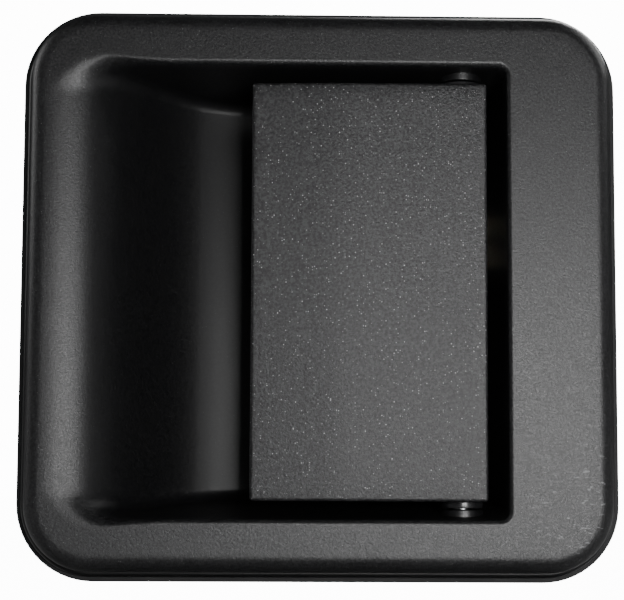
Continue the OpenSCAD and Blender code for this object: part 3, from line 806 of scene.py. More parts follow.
@dataclass
class Bezel:
    """Moulded bezel: rounded frame, finger scoop running into a drafted pocket, and hollow back."""

    half_w: float = 57.0
    half_h: float = 54.5
    corner_r: float = 13.0
    edge_r: float = 3.2
    ledge: float = 1.2
    ledge_t: float = 2.0
    foot_y: float = -2.0
    recess_right: float = 36.5
    recess_half_h: float = 44.4
    recess_depth: float = 23.4
    draft: float = math.radians(9)
    scoop_x: float = -53.5
    scoop_end: float = -5.0
    floor_r: float = 2.2
    lip_r: float = 3.2
    corner_inner_r: float = 1.8
    mouth_r: float = 0.8
    blur_r: float = 1.9
    blur_x: tuple[float, float] = (-47.0, -27.0)
    stud_x: float = 48.0
    stud_boss_r: float = 5.5
    screw_xs: tuple[float, float] = (-7.2, 29.2)
    screw_zs: tuple[float, float] = (-36.25, 26.75)
    screw_boss_r: float = 4.2
    screw_boss_y: tuple[float, float] = (13.3, 16.9)
    ear_z: tuple[float, float] = (42.4, 46.63)
    rib_t: float = 1.8
    rib_r: float = 0.3
    end_rib_xs: tuple[float, ...] = (-31.0, -4.0, 14.0)
    end_rib_z: tuple[float, float] = (44.6, 53.4)
    side_rib_x: tuple[float, float] = (36.9, 55.4)
    side_rib_z: float = 26.2
    window_x: tuple[float, float] = (13.55, 32.2)
    window_z: tuple[float, float] = (7.5, 18.0)
    leg_hole: tuple[float, float, float] = (31.2, 0.0, 2.15)
    leg_hole_r: float = 1.0

    def floor_depth(self, x: np.ndarray) -> np.ndarray:
        """Depth of the floor along the scoop.

        With t from 0 at the lip to 1, the share of the full depth is the mean of a slow blend,
        1 - (1 - t)^3 (1 + 3 t), and a late one, 1 - (1 - t)^8 (1 + 8 t + 36 t^2 + 120 t^3 + 330 t^4).
        """
        t = np.clip((x - self.scoop_x) / (self.scoop_end - self.scoop_x), 0, 1)
        slow = 1 - (1 - t) ** 3 * (1 + 3 * t)
        late = 1 - (1 - t) ** 8 * (1 + 8 * t + 36 * t ** 2 + 120 * t ** 3 + 330 * t ** 4)
        return self.recess_depth * (slow + late) / 2

    def cavity(self, x: np.ndarray, y: np.ndarray, z: np.ndarray) -> np.ndarray:
        """Distance to the recess, negative inside it.

        The end walls and the right wall are planes that lean in by the draft. They meet in a rounded
        corner, and the floor meets them in a fillet that is larger towards the lip. The floor's distance
        is its drop in Y times the cosine of its slope.

        Args:
            x: X of the points.
            y: Y of the points.
            z: Z of the points.

        Returns:
            The distances.
        """
        cos, sin = math.cos(self.draft), math.sin(self.draft)
        lean = (y - FACE_Y) * sin
        ends = (np.abs(z) - self.recess_half_h) * cos + lean
        right = (x - self.recess_right) * cos + lean
        walls = rounded_blend(ends, right, self.corner_inner_r)
        step = 0.05
        slope = (self.floor_depth(x + step) - self.floor_depth(x - step)) / (2 * step)
        floor = (y - FACE_Y - self.floor_depth(x)) / np.hypot(1, slope)
        fillet = self.floor_r + self.lip_r * (1 - self.floor_depth(x) / self.recess_depth) ** 3
        return rounded_blend(walls, floor, fillet)

    def solve(self, x: np.ndarray, z: np.ndarray, low: float, high: float, outside) -> np.ndarray:
        """Finds Y where a falling function of Y passes zero, by halving the span forty times."""
        lo, hi = np.full(x.shape, low), np.full(x.shape, high)
        for _ in range(40):
            mid = (lo + hi) / 2
            above = outside(x, mid, z) > 0
            lo, hi = np.where(above, mid, lo), np.where(above, hi, mid)
        return (lo + hi) / 2

    def face(self, x: np.ndarray, z: np.ndarray) -> np.ndarray:
        """Y of the flat face with the recess cut into it, its mouth edge rounded."""
        mouth = self.mouth_r * np.clip(self.floor_depth(x) / 2, 1e-6, 1)

        def outside(px: np.ndarray, py: np.ndarray, pz: np.ndarray) -> np.ndarray:
            return rounded_blend(FACE_Y - py, -self.cavity(px, py, pz), mouth)

        return self.solve(x, z, FACE_Y - 0.5, FACE_Y + self.recess_depth + 0.5, outside)

    def front(self, x: np.ndarray, z: np.ndarray) -> np.ndarray:
        """Y of the visible surface, softened near the lip.

        There it is the mean of the face's Y over a disc of 37 points: the middle and rings of 6, 12 and 18
        points at one, two and three thirds of the radius. The radius is zero at the lip and past blur_x.
        """
        y = self.face(x, z)
        near = x < self.blur_x[1]
        px, pz = x[near], z[near]
        fade = np.clip((self.blur_x[1] - px) / (self.blur_x[1] - self.blur_x[0]), 0, 1)
        radius = self.blur_r * fade * np.clip((px - self.scoop_x) / 4, 0, 1)
        total = self.face(px, pz)
        for ring in (1, 2, 3):
            for turn in np.arange(6 * ring) * math.pi / (3 * ring):
                out = radius * ring / 3
                total += self.face(px + out * math.cos(turn), pz + out * math.sin(turn))
        y[near] = total / 37
        return y

    def rear(self, x: np.ndarray, z: np.ndarray) -> np.ndarray:
        """Y of the surface behind: the inside of the face, or the back of the pocket's wall."""

        def outside(px: np.ndarray, py: np.ndarray, pz: np.ndarray) -> np.ndarray:
            return WALL - self.cavity(px, py, pz)

        top = FACE_Y + WALL
        return np.maximum(self.solve(x, z, top, FACE_Y + self.recess_depth + WALL + 0.5, outside), top)

    def loop(self, x: np.ndarray, z: np.ndarray, grow: float) -> tuple[np.ndarray, np.ndarray]:
        """Carries the border of a grid out to the bezel's rounded outline.

        Each side of the border goes to the stretch between the middles of two corner arcs, in proportion
        to the distance along it: half an arc, the straight side and half an arc.

        Args:
            x: X of the border's points.
            z: Z of the border's points.
            grow: Distance of the outline outside the face's own outline.

        Returns:
            X and Z on the rounded outline.
        """
        r = self.corner_r + grow
        cx, cz = self.half_w - self.corner_r, self.half_h - self.corner_r
        x0, x1, z1 = x.min(), x.max(), z.max()
        arc = math.pi / 4 * self.corner_r
        out_x, out_z = np.zeros(x.shape), np.zeros(z.shape)
        tiny = 1e-9
        for on_side, share, straight, turn in (
                (z <= -z1 + tiny, (x - x0) / (x1 - x0), cx, 0), (x >= x1 - tiny, (z + z1) / (2 * z1), cz, 1),
                (z >= z1 - tiny, (x1 - x) / (x1 - x0), cx, 2), (x <= x0 + tiny, (z1 - z) / (2 * z1), cz, 3)):
            run = share * 2 * (arc + straight) - arc - straight
            angle = np.sign(run) * np.maximum(np.abs(run) - straight, 0) / self.corner_r
            along = np.clip(run, -straight, straight) + r * np.sin(angle)
            across = (cz if turn % 2 == 0 else cx) + r * np.cos(angle)
            px, pz = ((along, -across), (across, along), (-along, across), (-across, -along))[turn]
            out_x, out_z = np.where(on_side, px, out_x), np.where(on_side, pz, out_z)
        return out_x, out_z

    @staticmethod
    def border(grid: np.ndarray) -> np.ndarray:
        """The border of a grid's points, once round."""
        return np.concatenate([grid[:-1, 0], grid[-1, :-1], grid[:0:-1, -1], grid[0, :0:-1]])

    def sheet(self, surface, xs: np.ndarray, zs: np.ndarray, grow: float) -> tuple[np.ndarray, np.ndarray]:
        """A height surface: a grid, and rows that carry its border out to the rounded outline.

        Args:
            surface: Function of X and Z that gives Y.
            xs: X of the grid's columns.
            zs: Z of the grid's rows.
            grow: Distance of the outline outside the face's own outline.

        Returns:
            The grid's points, and the rows from its border to the outline.
        """
        gx, gz = np.meshgrid(xs, zs, indexing="ij")
        rim = self.border(np.stack([gx, gz], -1))
        out = np.stack(self.loop(rim[:, 0], rim[:, 1], grow), -1)
        share = np.linspace(0, 1, 6)[:, None, None]
        rows = rim * (1 - share) + out * share
        return (np.stack([gx, surface(gx, gz), gz], -1),
                np.stack([rows[..., 0], surface(rows[..., 0], rows[..., 1]), rows[..., 1]], -1))

    def outer_profile(self) -> np.ndarray:
        """Growth and Y of the outer side, from the face round the edge and the ledge to the inside."""
        a = np.linspace(0, math.pi / 2, 12)
        edge = np.stack([self.edge_r * (np.sin(a) - 1), FACE_Y + self.edge_r * (1 - np.cos(a))], -1)
        ledge_y = self.foot_y - self.ledge_t
        corners = np.array([[0, FACE_Y + self.edge_r], [0, ledge_y], [self.ledge / 2, ledge_y],
                            [self.ledge - 0.2, ledge_y + 0.3], [self.ledge, ledge_y + 0.9],
                            [self.ledge, self.foot_y], [-WALL, self.foot_y], [-WALL, FACE_Y + WALL],
                            [-WALL - 0.6, FACE_Y + WALL]])
        return np.vstack([edge, rounded_corners(corners, 0.22, 3)[1:]])

    def ribs(self) -> Skin:
        """Stiffening ribs between the pocket and the frame's sides."""
        skin, depth = Skin(), (FACE_Y + 1, self.foot_y - 1.5)
        near, far = self.end_rib_z
        for x in self.end_rib_xs:
            for z in ((-far, -near), (near, far)):
                skin.add(box_slab((x, x + self.rib_t), depth, z, self.rib_r))
        for z in (-self.side_rib_z, self.side_rib_z):
            skin.add(box_slab(self.side_rib_x, depth, (z - self.rib_t / 2, z + self.rib_t / 2), self.rib_r))
        return skin

    def bosses(self) -> Skin:
        """Bosses for the studs and the back plate's screws, and the hinge ears."""
        skin = Skin()
        for x in (-self.stud_x, self.stud_x):
            boss = cylinder(self.stud_boss_r, (FACE_Y + 1, -0.5), Axis.Y, (x, 0, 0), 0.4)
            sunk = FACE_Y + 1.2 + np.where(x < 0, self.floor_depth(boss.points[0][:, 0]), 0)
            boss.points[0][:, 1] = np.maximum(boss.points[0][:, 1], sunk)
            skin.add(boss)
        for x in self.screw_xs:
            for z in self.screw_zs:
                skin.add(cylinder(self.screw_boss_r, self.screw_boss_y, Axis.Y, (x, 0, z), 0.3))
        for side in (-1, 1):
            ends = (self.ear_z[0] * side, self.ear_z[1] * side)
            skin.add(cylinder(EAR_R, ends, Axis.Z, (HINGE_X, HINGE_Y, 0), 0.25))
        return skin

    @staticmethod
    def grid(lip: float, ramp: float, wall: float, band: float,
             right: float) -> tuple[np.ndarray, np.ndarray]:
        """Grid lines that stand close together at the lip and across the recess's walls.

        Args:
            lip: Step in X next to the lip.
            ramp: Step in X along the rest of the scoop.
            wall: Step in X across the right wall.
            band: Step in Z across the end walls.
            right: X that the lines stop short of.

        Returns:
            X of the columns and Z of the rows.
        """
        xs = np.concatenate([np.arange(-51.6, -36, lip), np.arange(-36, -5, ramp),
                             np.linspace(-4.5, 29.6, 9), np.arange(30, right, wall)])
        side = np.arange(36.0, 47.4, band)
        return xs, np.concatenate([-side[::-1], np.linspace(-35.3, 35.3, 11), side])

    def build(self, finishes: Finishes) -> bpy.types.Object:
        """Builds and dresses the bezel.

        Args:
            finishes: The handle's materials.

        Returns:
            The bezel.
        """
        xs, zs = self.grid(0.4, 0.8, 0.12, 0.14, 38.2)
        rear_xs, rear_zs = self.grid(0.6, 0.9, 0.25, 0.25, 39.8)
        profile = self.outer_profile()
        face, to_edge = self.sheet(self.front, xs, zs, profile[0, 0])
        back, to_wall = self.sheet(self.rear, rear_xs, rear_zs, profile[-1, 0])
        rim = self.border(np.stack(np.meshgrid(xs, zs, indexing="ij"), -1))
        loops = [np.stack([*self.loop(rim[:, 0], rim[:, 1], grow), np.full(len(rim), y)], -1)[:, [0, 2, 1]]
                 for grow, y in profile[1:]]
        skin = Skin().patch(face).patch(back)
        skin.patch(np.concatenate([to_edge, np.stack(loops)]), wrap_cols=True)
        skin.patch(to_wall, wrap_cols=True)
        obj = make_object("bezel_moulding", self.closed(skin, loops[-1], to_wall[-1]))
        window = box_slab(self.window_x, (9.0, 19.0), self.window_z, 0.4)
        cut_away(obj, [window, cylinder(self.leg_hole_r, (8, 18), Axis.Y, self.leg_hole)])
        extra = make_object("bezel_extra", self.ribs().add(self.bosses()))
        join_into(obj, extra)
        return place_piece(obj, Body.HOUSING, "bezel", ["bezel"], finishes.bezel)

    @staticmethod
    def closed(skin: Skin, first: np.ndarray, second: np.ndarray) -> Skin:
        """Ties together two loops that lie on one flat outline but have different points.

        Both loops start at the same corner and run the same way round. Faces are made by walking both in
        step with the distance along them. They have no width, and some of their edges stay unmatched once
        the seams are merged. That seam lies on the inside of the face, where it is hidden.

        Args:
            skin: The skin that gets the faces.
            first: Points of the first loop.
            second: Points of the second loop.

        Returns:
            The skin.
        """
        shares = []
        for loop in (first, second):
            steps = np.linalg.norm(np.roll(loop, -1, 0) - loop, axis=1)
            shares.append(np.concatenate([[0], np.cumsum(steps)]) / steps.sum())
        merged = np.unique(np.round(np.concatenate(shares), 9))
        a = np.clip(np.searchsorted(shares[0], merged + 1e-8) - 1, 0, len(first) - 1)
        b = np.clip(np.searchsorted(shares[1], merged + 1e-8) - 1, 0, len(second) - 1)
        a[-1], b[-1] = 0, 0
        skin.patch(np.stack([first[a], second[b]]))
        return skin


def join_into(obj: bpy.types.Object, extra: bpy.types.Object) -> None:
    """Adds another object's mesh to an object and removes the other object."""
    edit = bmesh.new()
    edit.from_mesh(obj.data)
    edit.from_mesh(extra.data)
    edit.to_mesh(obj.data)
    edit.free()
    bpy.data.objects.remove(extra)


@dataclass
class Gasket:
    """Soft seal between the bezel's foot and the door skin."""

    half_w: float = 59.2
    half_h: float = 56.7
    corner_r: float = 15.2
    band: float = 4.8

    def build(self, finishes: Finishes) -> bpy.types.Object:
        """Carries a section with rounded edges and two raised beads at the back round the outline."""
        corners = np.array([[0, -1.0], [0, -2.0], [-self.band, -2.0], [-self.band, 0.0], [-3.1, 0.0],
                            [-2.9, -0.35], [-2.4, -0.35], [-2.2, 0.0], [-1.8, 0.0], [-1.6, -0.35],
                            [-1.1, -0.35], [-0.9, 0.0], [0, 0.0], [0, -1.0]], float)
        section = rounded_corners(corners, 0.3, 3)[:-1]
        side = np.linspace(0, math.pi / 2, 16)
        angle = np.concatenate([side + turn * math.pi / 2 for turn in range(4)])
        cx = np.repeat([1, -1, -1, 1], 16) * (self.half_w - self.corner_r)
        cz = np.repeat([1, 1, -1, -1], 16) * (self.half_h - self.corner_r)
        r = self.corner_r + section[:, :1]
        net = np.stack([cx + r * np.cos(angle), np.broadcast_to(section[:, 1:], (len(section), 64)),
                        cz + r * np.sin(angle)], -1)
        obj = make_object("gasket_seal", Skin().patch(net, wrap_rows=True, wrap_cols=True))
        return place_piece(obj, Body.HOUSING, "seal_rubber", ["door_gasket"], finishes.rubber)


@dataclass
class Studs:
    """Two threaded mounting studs pressed into the bezel's bosses."""

    x: float = 48.0
    r: float = 3.0
    pitch: float = 1.0
    depth: float = 0.55
    end_y: float = 20.0

    def rod(self, x: float) -> Skin:
        """One stud: a plain root, then a thread whose depth follows a helix, and a chamfered end.

        The radius is r less the thread's depth times a triangle wave of Y over the pitch less the angle
        over a full turn. The wave fades out over one pitch at the root.
        """
        a = np.linspace(0, 2 * math.pi, 40, endpoint=False)
        y = np.arange(1.5, self.end_y + 1e-6, self.pitch / 10)
        phase = (y[:, None] / self.pitch - a[None, :] / (2 * math.pi)) % 1
        wave = np.clip(1.35 * np.abs(2 * phase - 1) - 0.15, 0, 1)
        fade = np.clip((y - 1.5) / self.pitch, 0, 1)[:, None]
        tip = np.clip((y - self.end_y + 1.0) / 1.0, 0, 1)[:, None]
        radius = np.minimum(self.r - self.depth * wave * fade, self.r - 0.8 * tip)
        root = [(0.0, -6.2), (3.5, -6.2), (3.5, -0.5), (3.5, -0.5), (3.0, -0.5), (3.0, 1.4)]
        start = np.array(root)
        rows = np.vstack([np.repeat(start[:, :1], 40, 1), radius, np.zeros((1, 40))])
        ys = np.concatenate([start[:, 1], y, [self.end_y]])
        net = np.stack([x + rows * np.cos(a), np.broadcast_to(ys[:, None], rows.shape), rows * np.sin(a)], -1)
        return Skin().patch(net, wrap_cols=True)

    def build(self, finishes: Finishes) -> bpy.types.Object:
        """Builds both studs as one piece."""
        obj = make_object("threaded_studs", self.rod(-self.x).add(self.rod(self.x)))
        return place_piece(obj, Body.HOUSING, "zinc_steel", ["mounting_studs"], finishes.zinc, 50)


@dataclass
class Paddle:
    """Pull paddle: face with a soft crease, thick grip edge, hollow ribbed back and hinge hubs."""

    left: float = -13.5
    right: float = 32.4
    wall: float = 3.0
    depth: float = 10.0
    edge_r: float = 0.65
    crease_x: float = 3.1
    crease_drop: float = 1.1
    grip_t: float = 5.0
    hollow_y: float = 6.0
    hollow_r: float = 0.6
    hub_bore_r: float = 3.22
    rib_x: tuple[float, float] = (-9.5, 13.5)
    rib_zs: tuple[float, ...] = (-25.3, -8.16, 31.9)
    rib_t: float = 1.8
    boss_xs: tuple[float, float] = (9.0, 19.0)
    boss_z: float = 20.0
    boss_r: float = 3.2

    def fall(self, x: np.ndarray) -> np.ndarray:
        """How far the face lies behind its plane: a straight fall left of the crease with a soft bend.

        It is the fall per millimetre times half of (s + sqrt(s^2 + w^2)), s left of the crease.
        """
        s, soft = self.crease_x - x, 2.2
        return self.crease_drop / (self.crease_x - self.left) * 0.5 * (s + np.sqrt(s * s + soft * soft))

    def face(self, x: np.ndarray, z: np.ndarray) -> np.ndarray:
        """Y of the face."""
        return FACE_Y + self.fall(x)

    def back(self, x: np.ndarray, z: np.ndarray) -> np.ndarray:
        """Y of the rim: flat, and slanted forward past the hinge."""
        return FACE_Y + self.depth - np.clip((x - 29.0) / 3.4, 0, 1) * 2.0

    def build(self, finishes: Finishes) -> bpy.types.Object:
        """Builds the paddle: an outer block less its hollow, then ribs, bosses and hubs.

        Args:
            finishes: The handle's materials.

        Returns:
            The paddle.
        """
        r, end = self.edge_r, PADDLE_HALF_H
        xs = np.concatenate([np.linspace(self.left + r, 0.5, 8), np.linspace(0.9, 5.6, 15),
                             np.linspace(6.0, self.right - r, 14)])
        zs = np.linspace(-end + r, end - r, 25)
        obj = make_object("paddle_moulding", rounded_slab(xs, zs, self.face, self.back, r, 6))
        inner, round_r = end - self.wall, self.hollow_r
        hollow = rounded_slab(np.linspace(self.left + self.grip_t + round_r, self.right - 2 - round_r, 12),
                              np.linspace(-inner + round_r, inner - round_r, 6),
                              lambda x, z: self.face(x, z) + self.wall,
                              lambda x, z: np.full(x.shape, self.hollow_y), round_r)
        side = box_slab((27.0, 36.0), (FACE_Y + self.wall + 1, self.hollow_y), (-inner, inner), 0.4)
        bore = cylinder(self.hub_bore_r, (-50, 50), Axis.Z, (HINGE_X, HINGE_Y, 0))
        cut_away(obj, [hollow, side, bore])
        hubs = Skin()
        for sign in (-1, 1):
            hubs.add(cylinder(EAR_R, (inner * sign, end * sign), Axis.Z, (HINGE_X, HINGE_Y, 0)))
        for z in self.rib_zs:
            hubs.add(box_slab(self.rib_x, (FACE_Y + 2, FACE_Y + 7),
                              (z - self.rib_t / 2, z + self.rib_t / 2), 0.25))
        for x in self.boss_xs:
            hubs.add(cylinder(self.boss_r, (FACE_Y + 2, -5.0), Axis.Y, (x, 0, self.boss_z)))
        extra = make_object("paddle_extra", hubs)
        cut_away(extra, [bore])
        join_into(obj, extra)
        return place_piece(obj, Body.PADDLE, "paddle", ["paddle"], finishes.paddle)


@dataclass
class Hinge:
    """Hinge pin with its head and groove, the two flanged bushes and the return spring."""

    bush_flange: float = 1.3
    ear_out: float = 46.63
    wire_r: float = 0.7
    coil_r: float = 3.2
    turns: float = 5.5
    pitch: float = 1.5
    low_z: float = 2.15

    def pin(self) -> Skin:
        """The pin: headed at the top, grooved for its clip at the bottom."""
        groove, head = -self.ear_out - 0.1, self.ear_out
        steps = [(0, head + 1.2), (3.2, head + 1.2), (3.2, head), (PIN_R, head), (PIN_R, groove),
                 (PIN_R - 0.4, groove), (PIN_R - 0.4, groove - 0.8), (PIN_R, groove - 0.8),
                 (PIN_R, groove - 1.8), (0, groove - 1.8)]
        return solid_turned(steps, Axis.Z, (HINGE_X, HINGE_Y, 0), 0.3)

    def bushes(self) -> Skin:
        """The two bushes: a sleeve in the paddle's end wall and a flange that rubs on the ear."""
        skin, end = Skin(), PADDLE_HALF_H
        bore, sleeve = PIN_R + 0.05, PIN_R + 1.2
        for side in (-1, 1):
            corners = [(bore, side * (end - 3)), (sleeve, side * (end - 3)), (sleeve, side * end),
                       (EAR_R, side * end), (EAR_R, side * (end + self.bush_flange)),
                       (bore, side * (end + self.bush_flange))]
            skin.add(ring_turned(corners, Axis.Z, (HINGE_X, HINGE_Y, 0)))
        return skin

    def return_spring(self) -> tuple[Skin, Skin]:
        """Coil about the pin: a part with a leg through the pocket's floor, and one hooked over the arm."""
        centre = (HINGE_X, HINGE_Y, self.low_z)
        low, high = (coil(part, centre, self.coil_r, Axis.Z, 0.0, -1) for part in
                     coil_parts(self.turns - 1, self.turns * self.pitch, self.wire_r, 2.0))
        top, leg_x, hook_x = high[0][-1, 2], HINGE_X + self.coil_r, HINGE_X - self.coil_r
        before = leg([(leg_x, y, self.low_z) for y in (13.9, 8, 1)], 1.0)
        after = leg([(hook_x, 1, top), (hook_x, 4.9, top), (hook_x, 5.9, top + 0.4), (hook_x, 6, top + 1.4),
                     (hook_x, 6, ARM_Z + 2.25)], -1.0)
        return spring_wire([before, low], self.wire_r), spring_wire([high, after], self.wire_r)

    def build(self, finishes: Finishes) -> None:
        """Builds the pin, the bushes and the spring."""
        coil_part, hook = self.return_spring()
        for name, skin, body, slot, node, material in (
                ("hinge_shaft", self.pin(), Body.HOUSING, "pin_steel", "hinge_pin", finishes.ground),
                ("flanged_bushes", self.bushes(), Body.PADDLE, "acetal", "hinge_bushes", finishes.acetal),
                ("paddle_spring", coil_part, Body.HOUSING, "spring_steel", "return_spring", finishes.spring),
                ("paddle_spring_hook", hook, Body.PADDLE, "spring_steel", "return_spring", finishes.spring)):
            place_piece(make_object(name, skin), body, slot, [node], material)
        dress_node("hinge_clip", finishes.oxide, 0.08)


@dataclass
class Arm:
    """Steel arm behind the paddle, with its screws, nylon pad and the rubber button that it rests on."""

    bumper_x: float = 31.9
    bumper_y: float = 23.0

    def bumper(self) -> Skin:
        """Rubber button: a domed disc towards the arm, a neck through the tab and a bead behind it."""
        x = self.bumper_x
        steps = [(0, x), (2.6, x + 0.1), (3.2, x + 0.6), (3.2, x + 1.5), (1.48, x + 1.5), (1.48, x + 3.0),
                 (2.3, x + 3.0), (1.9, x + 4.0), (0, x + 4.4)]
        return solid_turned(steps, Axis.X, (0, self.bumper_y, ARM_Z), 0.3)

    def build(self, finishes: Finishes) -> None:
        """Builds the button and dresses the arm's CAD nodes."""
        place_piece(make_object("arm_button", self.bumper()), Body.HOUSING, "seal_rubber", ["arm_bumper"],
                    finishes.rubber)
        dress_node("paddle_arm", finishes.zinc, 0.25)
        dress_node("arm_screws", finishes.oxide, 0.2)
        dress_node("arm_pad", finishes.nylon, 0.3)


@dataclass
class Crank:
    """Back plate and bell crank: pivot, bush, drive stud, spring, washer, clip and rod clip."""

    plate_y: float = 16.9
    lever_y: float = 19.2
    lever_t: float = 2.5
    pivot_r: float = 3.0
    pivot_end: float = 30.5
    bush_end: float = 27.3
    stud_end: float = 28.5
    coil_r: float = 4.62
    wire_r: float = 0.5
    turns: int = 4

    def pivot(self) -> Skin:
        """Pivot pin riveted into the plate, grooved for its clip."""
        r, plate, end = self.pivot_r, self.plate_y, self.pivot_end
        steps = [(0, plate - 1.2), (5.0, plate - 1.2), (5.0, plate), (r, plate), (r, end - 2.0),
                 (r - 0.4, end - 2.0), (r - 0.4, end - 1.2), (r, end - 1.2), (r, end), (0, end)]
        return solid_turned(steps, Axis.Y, (LEVER_X, 0, LEVER_Z), 0.3)

    def bush(self) -> Skin:
        """Acetal bush that the lever is pressed on."""
        bore, front = self.pivot_r + 0.05, self.lever_y - 0.5
        corners = [(bore, front), (6.0, front), (6.0, self.lever_y), (4.0, self.lever_y),
                   (4.0, self.bush_end), (bore, self.bush_end)]
        return ring_turned(corners, Axis.Y, (LEVER_X, 0, LEVER_Z))

    def drive_stud(self) -> Skin:
        """Stud that the arm's pad pushes, riveted over on the lever's other side."""
        front, back = self.lever_y, self.lever_y + self.lever_t
        steps = [(0, front - 0.5), (2.4, front - 0.5), (2.4, front), (1.5, front), (1.5, back), (3.5, back),
                 (3.5, self.stud_end), (0, self.stud_end)]
        return solid_turned(steps, Axis.Y, (LEVER_X, 0, ARM_Z), 0.35)

    def washer(self) -> Skin:
        """Thrust washer under the clip."""
        bore, low = self.pivot_r + 0.02, self.bush_end + 0.3
        corners = [(bore, low), (6.0, low), (6.0, low + 0.8), (bore, low + 0.8)]
        return ring_turned(corners, Axis.Y, (LEVER_X, 0, LEVER_Z))

    def spring(self) -> tuple[Skin, Skin]:
        """Coil about the bush: a part hooked over the lever, and one with a leg on the plate's tab."""
        y0 = self.lever_y + self.lever_t + 0.3 + self.wire_r
        front, back = (coil(part, (LEVER_X, y0, LEVER_Z), self.coil_r, Axis.Y, math.pi, 1) for part in
                       coil_parts(self.turns - 1, self.bush_end - y0 - self.wire_r, self.wire_r, 1.25))
        x, end_y, up = LEVER_X - self.coil_r, back[0][-1, 1], LEVER_Z + 14
        before = leg([(x, self.lever_y + 0.4, up), (x, y0 - 1.2, up), (x, y0 - 0.2, up - 0.2),
                      (x, y0, up - 1.2), (x, y0, LEVER_Z + 7), (x, y0, LEVER_Z + 2)], -1.0)
        after = leg([(x, end_y, LEVER_Z - drop) for drop in (2, 7, 12.5)], -1.0)
        return spring_wire([before, front], self.wire_r), spring_wire([back, after], self.wire_r)

    def build(self, finishes: Finishes) -> None:
        """Builds the turned pieces and the spring, and dresses the CAD nodes."""
        hook, coil_part = self.spring()
        for name, skin, body, slot, node, material in (
                ("crank_pivot", self.pivot(), Body.HOUSING, "pin_steel", "lever_pivot", finishes.ground),
                ("crank_bush", self.bush(), Body.LEVER, "acetal", "lever_bush", finishes.acetal),
                ("crank_stud", self.drive_stud(), Body.LEVER, "pin_steel", "drive_stud", finishes.ground),
                ("crank_washer", self.washer(), Body.HOUSING, "zinc_steel", "lever_washer", finishes.zinc),
                ("crank_spring", coil_part, Body.HOUSING, "spring_steel", "lever_spring", finishes.spring),
                ("crank_spring_hook", hook, Body.LEVER, "spring_steel", "lever_spring", finishes.spring)):
            place_piece(make_object(name, skin), body, slot, [node], material)
        dress_node("back_plate", finishes.yellow, 0.22)
        dress_node("back_plate_screws", finishes.oxide, 0.25)
        dress_node("release_lever", finishes.yellow, 0.3)
        dress_node("lever_clip", finishes.oxide, 0.08)
        dress_node("rod_clip", finishes.nylon, 0.25)


@dataclass(frozen=True)
class Lamp:
    """Rectangular soft light: where it stands and what it faces, in metres, its size and its watts."""

    name: str
    place: tuple[float, float, float]
    aim: tuple[float, float, float]
    size: tuple[float, float]
    power: float

    def add(self) -> None:
        """Adds the light to the scene."""
        data = bpy.data.lights.new(self.name, "AREA")
        data.shape, data.energy = "RECTANGLE", self.power
        data.size, data.size_y = self.size
        obj = link_object(self.name, data)
        obj.location = self.place
        obj.rotation_euler = (Vector(self.aim) - Vector(self.place)).to_track_quat("-Z", "Y").to_euler()


LAMPS = (
    Lamp("key", (0.095, -0.36, -0.036), (0.0, -0.01, -0.01), (0.15, 0.10), 1.5),
    Lamp("fill", (-0.5, -0.55, 0.45), (0.0, 0.0, 0.0), (0.5, 0.5), 0.3),
    Lamp("rear", (0.35, 0.7, 0.6), (0.0, 0.0, 0.0), (0.5, 0.5), 5.0),
    Lamp("right", (0.6, 0.05, 0.45), (0.0, 0.0, 0.0), (0.4, 0.4), 2.0),
    Lamp("left", (-0.7, 0.1, 0.3), (0.0, 0.0, 0.0), (0.4, 0.4), 1.5),
)


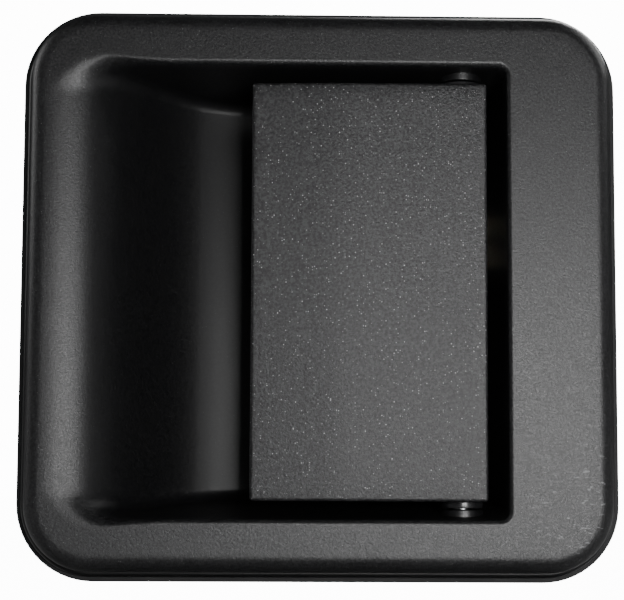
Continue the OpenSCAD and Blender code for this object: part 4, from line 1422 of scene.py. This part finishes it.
@dataclass
class Studio:
    """Pale floor, soft lights and the camera."""

    camera_at: tuple[float, float, float] = (-0.0088, -0.3406, -0.0356)
    pitch: float = 0.1011
    yaw: float = 0.0216
    roll: float = 0.0047
    lens: float = 98.9
    floor_z: float = -0.0567
    room_light: float = 0.03

    def floor(self) -> None:
        """A pale plane under the handle that the camera sees nearly white, with a soft shadow."""
        mesh = bpy.data.meshes.new("floor")
        half = 1.2
        mesh.from_pydata([(-half, -half, self.floor_z), (half, -half, self.floor_z),
                          (half, half, self.floor_z), (-half, half, self.floor_z)], [], [(0, 1, 2, 3)])
        obj = link_object("floor", mesh)
        material, graph, shader = new_material("studio_floor", {"Roughness": 0.9})
        place = graph.place()
        tone = graph.span(graph.noise(place, 9.0), 0.2, 0.8)
        graph.tree.links.new(graph.mix(tone, (0.50, 0.50, 0.50, 1), (0.54, 0.54, 0.54, 1)),
                             shader.inputs["Base Color"])
        glow = graph.node("ShaderNodeEmission", {"Color": (1, 1, 1, 1), "Strength": CAMERA_WHITE})
        seen = graph.node("ShaderNodeLightPath", {}).outputs["Is Camera Ray"]
        both = graph.node("ShaderNodeMixShader", {0: graph.times(seen, 0.96),
                                                  1: shader.outputs[0], 2: glow.outputs[0]})
        output = graph.tree.nodes["Material Output"]
        graph.tree.links.new(both.outputs[0], output.inputs["Surface"])
        mesh.materials.append(material)

    def world(self) -> None:
        """White for the camera, a dim soft room for everything else."""
        world = bpy.data.worlds.new("studio_room")
        world.use_nodes = True
        graph = Graph(world.node_tree)
        seen = graph.node("ShaderNodeLightPath", {}).outputs["Is Camera Ray"]
        room = world.node_tree.nodes["Background"]
        room.inputs["Color"].default_value = (0.9, 0.95, 1.0, 1)
        room.inputs["Strength"].default_value = self.room_light
        white = graph.node("ShaderNodeBackground", {"Color": (1, 1, 1, 1), "Strength": CAMERA_WHITE})
        both = graph.node("ShaderNodeMixShader", {0: seen, 1: room.outputs[0], 2: white.outputs[0]})
        world.node_tree.links.new(both.outputs[0], world.node_tree.nodes["World Output"].inputs["Surface"])
        bpy.context.scene.world = world

    def camera(self) -> None:
        """The camera, a little below and left of the handle's middle, tilted slightly up."""
        data = bpy.data.cameras.new("camera")
        data.lens, data.sensor_width, data.clip_start = self.lens, 36.0, 0.01
        obj = link_object("camera", data)
        level = math.cos(self.pitch)
        forward = Vector((math.sin(self.yaw) * level, math.cos(self.yaw) * level, math.sin(self.pitch)))
        right = Vector((math.cos(self.yaw), -math.sin(self.yaw), 0))
        up = right.cross(forward)
        side = math.cos(self.roll) * right + math.sin(self.roll) * up
        top = -math.sin(self.roll) * right + math.cos(self.roll) * up
        turn = Matrix((side, top, -forward)).transposed().to_4x4()
        obj.matrix_world = Matrix.Translation(self.camera_at) @ turn
        bpy.context.scene.camera = obj

    def build(self) -> None:
        """Sets the stage."""
        self.floor()
        self.world()
        self.camera()
        for lamp in LAMPS:
            lamp.add()


def main() -> None:
    """Builds the studio and the handle."""
    logging.basicConfig(level=logging.INFO, format="%(name)s %(message)s")
    Studio().build()
    finishes = Finishes()
    for part in (Bezel(), Gasket(), Studs(), Paddle(), Hinge(), Arm(), Crank()):
        LOG.info("building %s", type(part).__name__)
        part.build(finishes)
    bpy.context.view_layer.update()


if __name__ == "__main__":
    main()
